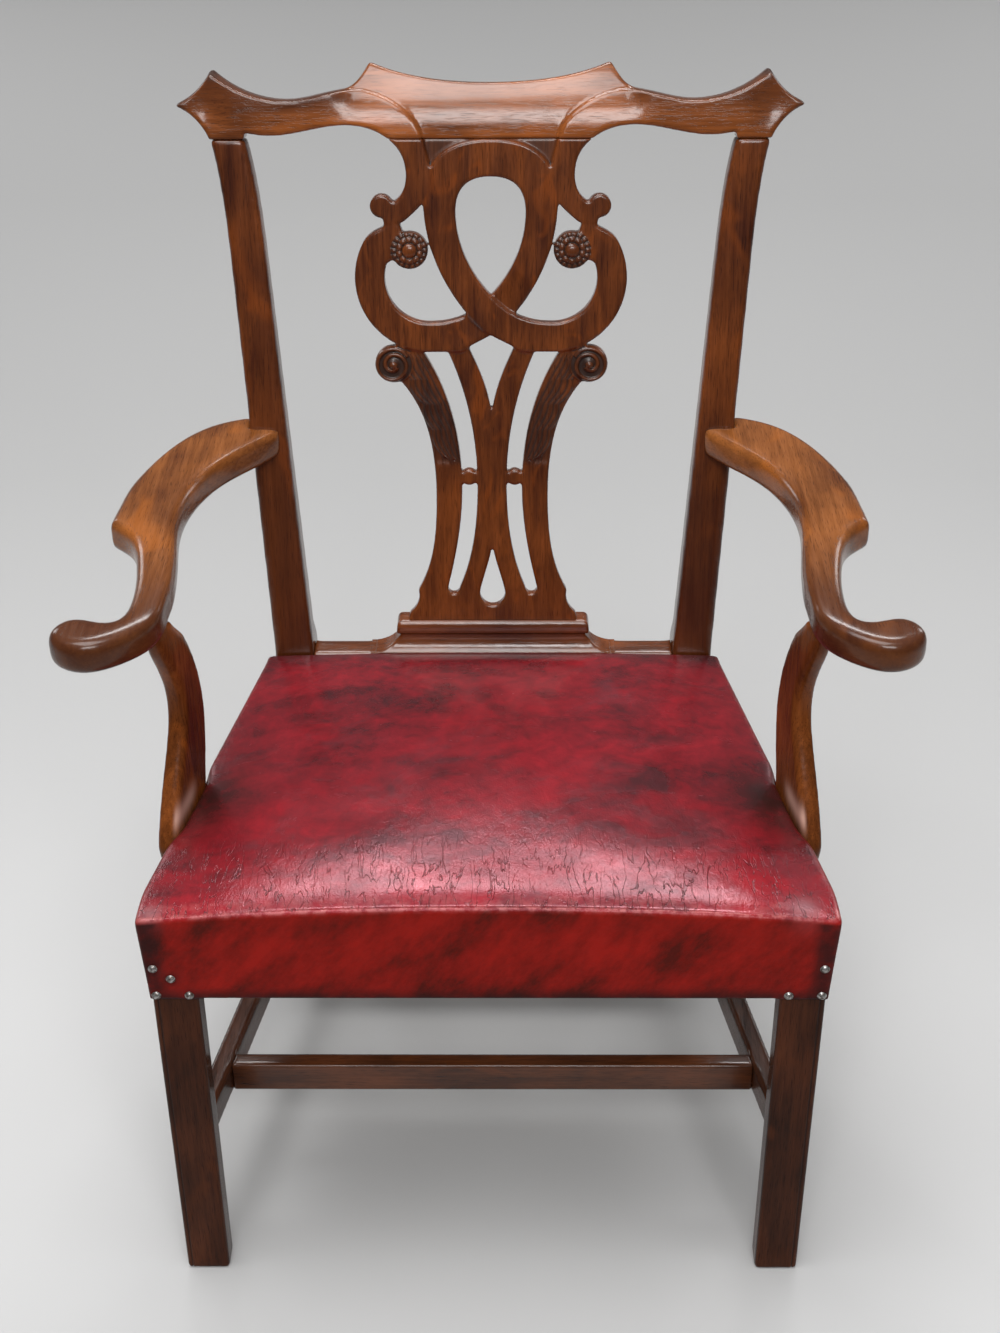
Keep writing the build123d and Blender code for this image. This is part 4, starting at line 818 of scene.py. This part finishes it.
RAIL_LIP = 0.001  # the pressed leather ends this far over the rail
SUPPORT_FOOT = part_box("arm_support_right")[0].z - SUPPORT_GAP


def half_width(y, out):
    """Half of the seat's width at y from the front of the legs, a distance out from the frame."""
    taper = HALF_FRONT - (y - LEG) * RAIL_SLOPE + out / math.cos(math.atan(RAIL_SLOPE))
    return np.minimum(HALF_FRONT + out, taper)


def crown(x, y):
    """Height of the seat's top."""
    across = x / (HALF_FRONT - (y - LEG) * RAIL_SLOPE)
    along = np.clip(y / SEAT_DEPTH, 0, 1)
    rise = CROWN_FRONT * (1 - along) + CROWN_BACK * along + CROWN_MIDDLE * 4 * along * (1 - along)
    return CREASE + (1 - across ** 2) * rise - SEAT_FALL * along


def support_edges():
    """Heights, and the front and rear of an arm support at each, from the front of the legs."""
    points, faces = arrays(nodes["arm_support_right"])
    ends = points[np.concatenate((faces[:, :2], faces[:, 1:]))]
    heights = np.linspace(SUPPORT_FOOT + 0.002, CREASE + 0.01, 16)
    spans = []
    for z in heights:
        low, high = ends[:, 0, 2] - z, ends[:, 1, 2] - z
        crossing = low * high < 0
        share = low[crossing] / (low - high)[crossing]
        y = ends[crossing, 0, 1] * (1 - share) + ends[crossing, 1, 1] * share
        spans.append((y.min() - FRONT - SUPPORT_GAP, y.max() - FRONT + SUPPORT_GAP))
    return heights, np.array(spans)


def seat_sheet(across=118, deep=84, turns=4, upper=14, lower=6):
    """Outer face of the leather: a top grid, rows down over the crease and sides, a strip under the rails.

    It is pressed in behind the arm supports and cut round their feet. Gives points, faces and for each point
    how far it is round the crease, from 0 on top to 1 on the sides."""
    heights, spans = support_edges()
    notch_front, notch_rear = spans[-2]
    top_out = LEATHER + BULGE - CREASE_ROUND
    pressed_in = top_out + CREASE_ROUND + SUPPORT_GAP
    ys = np.linspace(-top_out, SEAT_BACK - LEATHER, deep + 1)
    row_front, row_rear = (np.abs(ys - notch).argmin() for notch in (notch_front, notch_rear))
    ys[row_front], ys[row_rear] = notch_front, notch_rear
    points, turned, faces = [], [], []

    def press(y):
        """How far the leather is pressed in at y, from 0 to 1."""
        return (smooth_step(y, notch_front - PRESS_RUN, notch_front)
                * smooth_step(y, notch_rear + PRESS_RUN, notch_rear))

    def add(row, amount):
        start = sum(len(p) for p in points)
        points.append(row)
        turned.append(np.full(len(row), float(amount)))
        return start + np.arange(len(row))

    def hang(edge, rows, amounts):
        """Adds rows of points below an edge and the faces between them; gives each row's indices."""
        found = [edge]
        for row, amount in zip(rows, amounts):
            below = add(row, amount)
            above = found[-1]
            faces.append(np.column_stack((above[1:], above[:-1], below[:-1], below[1:])))
            found.append(below)
        return found

    u = np.linspace(-1, 1, across + 1)
    rows = []
    for y in ys:
        x = u * half_width(y, top_out - pressed_in * press(y))
        rows.append(np.column_stack((x, np.full_like(x, y), crown(x, y))))
    index = np.array([add(row, 0) for row in rows])
    faces.append(grid_faces(deep + 1, across + 1, 0))
    rim_index = np.concatenate((index[::-1, 0], index[0, 1:], index[1:, -1]))
    rim = np.concatenate(points)[rim_index]
    number = np.arange(len(rim))
    at_side = (number < deep) | (number > deep + across)
    rim_share = rim[:, 0] / half_width(rim[:, 1], top_out - pressed_in * press(rim[:, 1]))

    def ring_row(out, height, part):
        """The rim's points of one part at another height and distance out from the frame."""
        y = np.where(at_side, np.maximum(rim[:, 1], -out), -out)[part]
        lean = np.where(at_side[part], smooth_step(height, CREASE, CREASE - LEAN_DROP), 0)
        ahead = np.interp(height, heights, spans[:, 0]) - notch_front
        behind = np.interp(height, heights, spans[:, 1]) - notch_rear
        y = y + lean * np.where(y <= notch_front + 1e-6, ahead * np.exp(-(notch_front - y) / LEAN_RUN), 0)
        y = y + lean * np.where(y >= notch_rear - 1e-6, behind * np.exp(-(y - notch_rear) / LEAN_RUN), 0)
        held = press(y) * smooth_step(height, RAIL_TOP + RAIL_LIP, RAIL_TOP + 8 * RAIL_LIP)
        x = rim_share[part] * half_width(y, out - pressed_in * held)
        return np.column_stack((x, y, height))

    def crease_rows(part):
        found = []
        for k in range(1, turns + 1):
            angle = math.pi / 2 * k / turns
            found.append(ring_row(top_out + CREASE_ROUND * math.sin(angle),
                                  rim[part, 2] - CREASE_ROUND * (1 - math.cos(angle)), part))
        return found

    def skirt(part):
        """A stretch of the sides from the crease to the lower edge."""
        found = crease_rows(part)
        start = found[-1][:, 2]
        stops = ([start * (1 - k / upper) + SUPPORT_FOOT * k / upper for k in range(1, upper + 1)]
                 + [np.full_like(start, SUPPORT_FOOT + (LEATHER_BOTTOM - SUPPORT_FOOT) * k / lower)
                    for k in range(1, lower + 1)])
        for height in stops:
            drop = (height.mean() - LEATHER_BOTTOM) / (CREASE - LEATHER_BOTTOM)
            found.append(ring_row(LEATHER + BULGE * min(1, drop), height, part))
        return hang(rim_index[part], found, [k / turns for k in range(1, turns + 1)] + [1] * len(stops))

    def pressed(part):
        """The short wall behind a support."""
        found = crease_rows(part)
        low = found[-1].copy()
        low[:, 2] = RAIL_TOP + RAIL_LIP
        hang(rim_index[part], [*found, low], [k / turns for k in range(1, turns + 1)] + [1])

    def under_foot(ahead, behind):
        """Leather below a support's foot, between two stretches of the sides."""
        everything = np.concatenate(points)
        steps = row_rear - row_front
        share = np.linspace(0, 1, steps + 1)[:, None]
        found = [everything[a] * (1 - share) + everything[b] * share for a, b in zip(ahead, behind)]
        return hang(add(found[0], 1), found[1:], [1] * lower)[-1]

    def turn_under(edge, steps=5):
        """Strip of leather turned under a rail."""
        line = np.concatenate(points)[edge]
        inward = np.where(np.abs(line[:, :1]) > half_width(line[:, 1:2], 0), np.sign(line[:, :1]), 0)
        rows = []
        for k in range(1, steps + 1):
            row = line.copy()
            side = inward[:, 0] != 0
            row[side, 0] -= inward[side, 0] * (LEATHER + TURN_UNDER) * k / steps
            row[~side, 1] += (LEATHER + TURN_UNDER) * k / steps
            rows.append(row)
        hang(edge, rows, [1] * steps)

    corners = (0, deep - row_rear, deep - row_front, deep + across + row_front, deep + across + row_rear,
               len(rim) - 1)
    parts = [slice(a, b + 1) for a, b in zip(corners[:-1], corners[1:])]
    left, middle, right = (skirt(parts[k]) for k in (0, 2, 4))
    pressed(parts[1])
    pressed(parts[3])
    first = turns + upper
    left_foot = under_foot([row[-1] for row in left[first:]], [row[0] for row in middle[first:]])
    right_foot = under_foot([row[-1] for row in middle[first:]], [row[0] for row in right[first:]])
    bottom = np.concatenate((left[-1], left_foot, middle[-1], right_foot, right[-1]))
    line = np.concatenate(points)[bottom]
    behind_leg = line[:, 1] > LEG + LEG_GAP
    between = (np.abs(line[:, 0]) < HALF_FRONT - LEG - LEG_GAP) & ~behind_leg
    for stretch in (behind_leg & (line[:, 0] < 0), between, behind_leg & (line[:, 0] > 0)):
        turn_under(bottom[stretch])
    edge = rows[-1][::-1]
    fold = []
    for k in (1, 2, 3, 4):
        y = np.full(len(edge), SEAT_BACK - LEATHER * (1 - min(k, 2) / 2) ** 2)
        z = edge[:, 2] - (edge[:, 2] - RAIL_TOP - RAIL_LIP / 2) * (k / 4) ** 1.5
        fold.append(np.column_stack((edge[:, 0], y, z)))
    hang(index[-1][::-1], fold, (0.5, 1, 1, 1))
    points = np.concatenate(points)
    points[:, 1] += FRONT
    return points, np.concatenate(faces), np.concatenate(turned)


def blow_up(obj, held, cap):
    """Fills a cover by cloth simulation: pressure from inside, with the held points fixed."""
    rest = points_of(obj)
    group = obj.vertex_groups.new(name="held")
    group.add([int(i) for i in np.flatnonzero(held)], 1.0, "REPLACE")
    cloth = obj.modifiers.new("cloth", "CLOTH")
    settings = cloth.settings
    settings.vertex_group_mass = "held"
    settings.use_pressure = True
    settings.uniform_pressure_force = 4
    settings.mass = 0.4
    settings.tension_stiffness = settings.compression_stiffness = 40
    settings.bending_stiffness = 8
    settings.effector_weights.gravity = 0
    scene = bpy.context.scene
    for step in range(1, CLOTH_STEPS + 1):
        scene.frame_set(step)
    shaped = obj.evaluated_get(bpy.context.evaluated_depsgraph_get())
    moved = np.zeros(len(rest) * 3, np.float32)
    shaped.data.vertices.foreach_get("co", moved)
    shift = moved.reshape(-1, 3) - rest
    length = np.linalg.norm(shift, axis=1)
    obj.modifiers.clear()
    obj.vertex_groups.clear()
    scene.frame_set(1)
    move_points(obj, rest + shift * np.minimum(1, cap / np.maximum(length, 1e-9))[:, None])


def thickened(obj, thickness, offset=0):
    """Gives a sheet its thickness, and puts the result of its modifiers into its mesh."""
    thick = obj.modifiers.new("thick", "SOLIDIFY")
    thick.thickness = thickness
    thick.offset = offset
    shaped = obj.evaluated_get(bpy.context.evaluated_depsgraph_get())
    mesh = bpy.data.meshes.new_from_object(shaped)
    obj.modifiers.clear()
    obj.data = mesh
    mesh.shade_smooth()


def weld(obj):
    """Joins points that lie together."""
    work = bmesh.new()
    work.from_mesh(obj.data)
    bmesh.ops.remove_doubles(work, verts=work.verts, dist=2e-5)
    work.to_mesh(obj.data)
    work.free()


def round_sides(obj):
    """Eases the edge between the seat's top and its sides, behind the front crease."""
    points, edges = points_of(obj), edges_of(obj)
    depth = points[:, 1] - FRONT
    near = (smooth_step(np.abs(points[:, 0]), half_width(depth, -0.022), half_width(depth, -0.006))
            * smooth_step(depth, 0.012, 0.05) * smooth_step(depth, SEAT_BACK, SEAT_BACK - 0.012)
            * smooth_step(points[:, 2], RAIL_TOP - 0.006, RAIL_TOP + 0.008))
    move_points(obj, eased_by(points, edges, near, EDGE_EASING))


def mark_seat(obj, turned):
    """Marks for the leather: cracks, a worn crease with a painted highlight, darker edges, nail halos,
    painted shadow beside the supports, painted shade along the back, and faded corners.
    """
    points = points_of(obj)
    x, depth, z = points[:, 0], points[:, 1] - FRONT, points[:, 2]
    mark(obj, "crackled", smooth_step(depth, 0.12, 0.02) * (turned < 0.5))
    # The crease: real wear, and a painted highlight along it
    mark(obj, "wear_and_sheen", np.exp(-((turned - 0.35) / 0.3) ** 2) * (depth < 0.01))
    across = np.abs(x) / half_width(depth, 0)
    lower_edge = smooth_step(z, LEATHER_BOTTOM + 0.017, LEATHER_BOTTOM)
    on_front = (depth < 0.006) * (turned > 0.9)
    front_edges = smooth_step(np.abs(x), HALF_FRONT - 0.020, HALF_FRONT - 0.008) * on_front
    _, spans = support_edges()
    notch = spans[-2].mean()
    # Painted shadow beside the supports and painted shade along the back
    support_shadow = np.exp(-((depth - notch) / 0.055) ** 2) * smooth_step(across, 0.70, 0.94)
    back_shade = 0.6 * smooth_step(depth, SEAT_BACK - 0.03, SEAT_BACK)
    halos = [np.exp(-((points - nail.mean(axis=0)) ** 2).sum(axis=1) / 0.0075 ** 2)
             for nail in islands(nodes["cover_nails"])]
    dark = np.max([lower_edge, 0.9 * front_edges, support_shadow, back_shade, *halos], axis=0)
    mark(obj, "dark", np.clip(dark, 0, 1))
    corners = [np.exp(-((points - (place[0], FRONT + place[1], CREASE)) ** 2).sum(axis=1) / place[2] ** 2)
               for place in FADED_CORNERS]
    mark(obj, "faded", np.max(corners, axis=0))


def make_seat():
    points, faces, turned = seat_sheet()
    points[:, 2] -= SLACK * (turned == 0) * np.clip(1 - np.abs(points[:, 0]) / HALF_FRONT, 0, 1) ** 0.5
    obj = mesh_object("leather_seat", points, faces)
    mark(obj, "side", turned)
    weld(obj)
    turned = values_of(obj, "side")
    blow_up(obj, turned > 0.3, SWELL)
    round_sides(obj)
    mark_seat(obj, turned)
    finer = obj.modifiers.new("finer", "SUBSURF")
    finer.levels = finer.render_levels = 1
    finer.boundary_smooth = "PRESERVE_CORNERS"
    thickened(obj, LEATHER, -1)
    dress(obj, red_leather(), "leather", "leather_cover", "stuffing")


WEBBING = 0.0014  # thickness of a strap
STRAP_STEP = 0.0025
STRAP_LIFT = 0.0001
STRAP_WEAVE = 0.00008
STRAP_FRAY = 0.0004
HESSIAN = 0.0008
HESSIAN_IN = 0.0005
HESSIAN_SAG = 0.00006


def strap_grid(solid):
    """Middle of one strap as rows of points: it follows its solid over and under, a little uneven."""
    low, high = solid.min(axis=0), solid.max(axis=0)
    along = int(high[1] - low[1] > high[0] - low[0])
    across = 1 - along
    stops, place = np.unique(np.round(solid[:, along], 4), return_inverse=True)
    foot = np.full(len(stops), np.inf)
    np.minimum.at(foot, place.ravel(), solid[:, 2])
    length = np.linspace(low[along], high[along], int((high[along] - low[along]) / STRAP_STEP) + 1)
    height = np.interp(length, stops, foot)
    height[1:-1] = (height[:-2] + height[1:-1] * 2 + height[2:]) / 4
    width = np.linspace(low[across], high[across], int((high[across] - low[across]) / STRAP_STEP) + 1)
    grid = np.zeros((len(length), len(width), 3))
    grid[..., along] = length[:, None]
    grid[..., across] = width[None, :]
    up, down = (np.cos(np.arange(len(line)) * math.pi) for line in (length, width))
    grid[..., 2] = height[:, None] + WEBBING / 2 + STRAP_LIFT + STRAP_WEAVE * up[:, None] * down[None]
    off_middle = width - width.mean()
    outermost = np.abs(off_middle) > (high[across] - low[across]) / 2 - 1e-6
    wavy = STRAP_FRAY * (1 + np.sin(length * 310))
    grid[..., across] -= wavy[:, None] * (outermost * np.sign(off_middle))[None]
    return grid


def grid_faces(rows, columns, start):
    index = start + np.arange(rows * columns).reshape(rows, columns)
    return np.stack((index[:-1, :-1], index[:-1, 1:], index[1:, 1:], index[1:, :-1]), axis=-1).reshape(-1, 4)


def make_webbing():
    """Woven straps, and the sacking stretched over them."""
    looks = {"webbing_lengthwise": woven("jute_lengthwise", 0.0016, (0.42, 0.32, 0.20), (0.13, 0.09, 0.05)),
             "webbing_crosswise": woven("jute_crosswise", 0.0016, (0.40, 0.30, 0.18), (0.12, 0.08, 0.045))}
    for node, look in looks.items():
        points, faces = [], []
        for solid in islands(nodes[node]):
            grid = strap_grid(solid)
            faces.append(grid_faces(*grid.shape[:2], sum(len(p) for p in points)))
            points.append(grid.reshape(-1, 3))
        obj = mesh_object(node + "_straps", np.concatenate(points), np.concatenate(faces))
        thickened(obj, WEBBING)
        dress(obj, look, "webbing", node)
    low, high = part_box("hessian")
    ys = np.linspace(low.y + HESSIAN_IN, high.y - HESSIAN_IN, 90)
    half = np.clip(half_width(np.maximum(ys - FRONT, LEG), -0.0095), 0, high.x)
    share = np.linspace(-1, 1, 110)
    grid = np.zeros((len(ys), len(share), 3))
    grid[..., 0] = half[:, None] * share[None, :]
    grid[..., 1] = ys[:, None]
    sag = HESSIAN_SAG * np.sin(grid[..., 0] * 65) * np.sin(grid[..., 1] * 71)
    grid[..., 2] = (low.z + high.z) / 2 + sag
    cloth = mesh_object("hessian_cloth", grid.reshape(-1, 3), grid_faces(len(ys), len(share), 0))
    thickened(cloth, HESSIAN)
    dress(cloth, woven("sacking", 0.0022, (0.50, 0.39, 0.24), (0.16, 0.11, 0.06)), "hessian", "hessian")


def dress_metal():
    """Materials for the nails, tacks and screws."""
    nail = old_metal("nail_metal", (0.42, 0.41, 0.40), (0.10, 0.075, 0.06), 0.25)
    steel = old_metal("steel", (0.30, 0.29, 0.28), (0.08, 0.07, 0.065), 0.35)
    for name in ("cover_nails", "cover_tacks", "webbing_tacks", "arm_screws", "support_screws",
                 "block_screws"):
        nodes[name].data.materials.clear()
        nodes[name].data.materials.append(nail if name == "cover_nails" else steel)


bpy.context.scene.view_settings.view_transform = "Standard"
aim_camera()
set_stage()
make_wood()
make_seat()
make_webbing()
dress_metal()
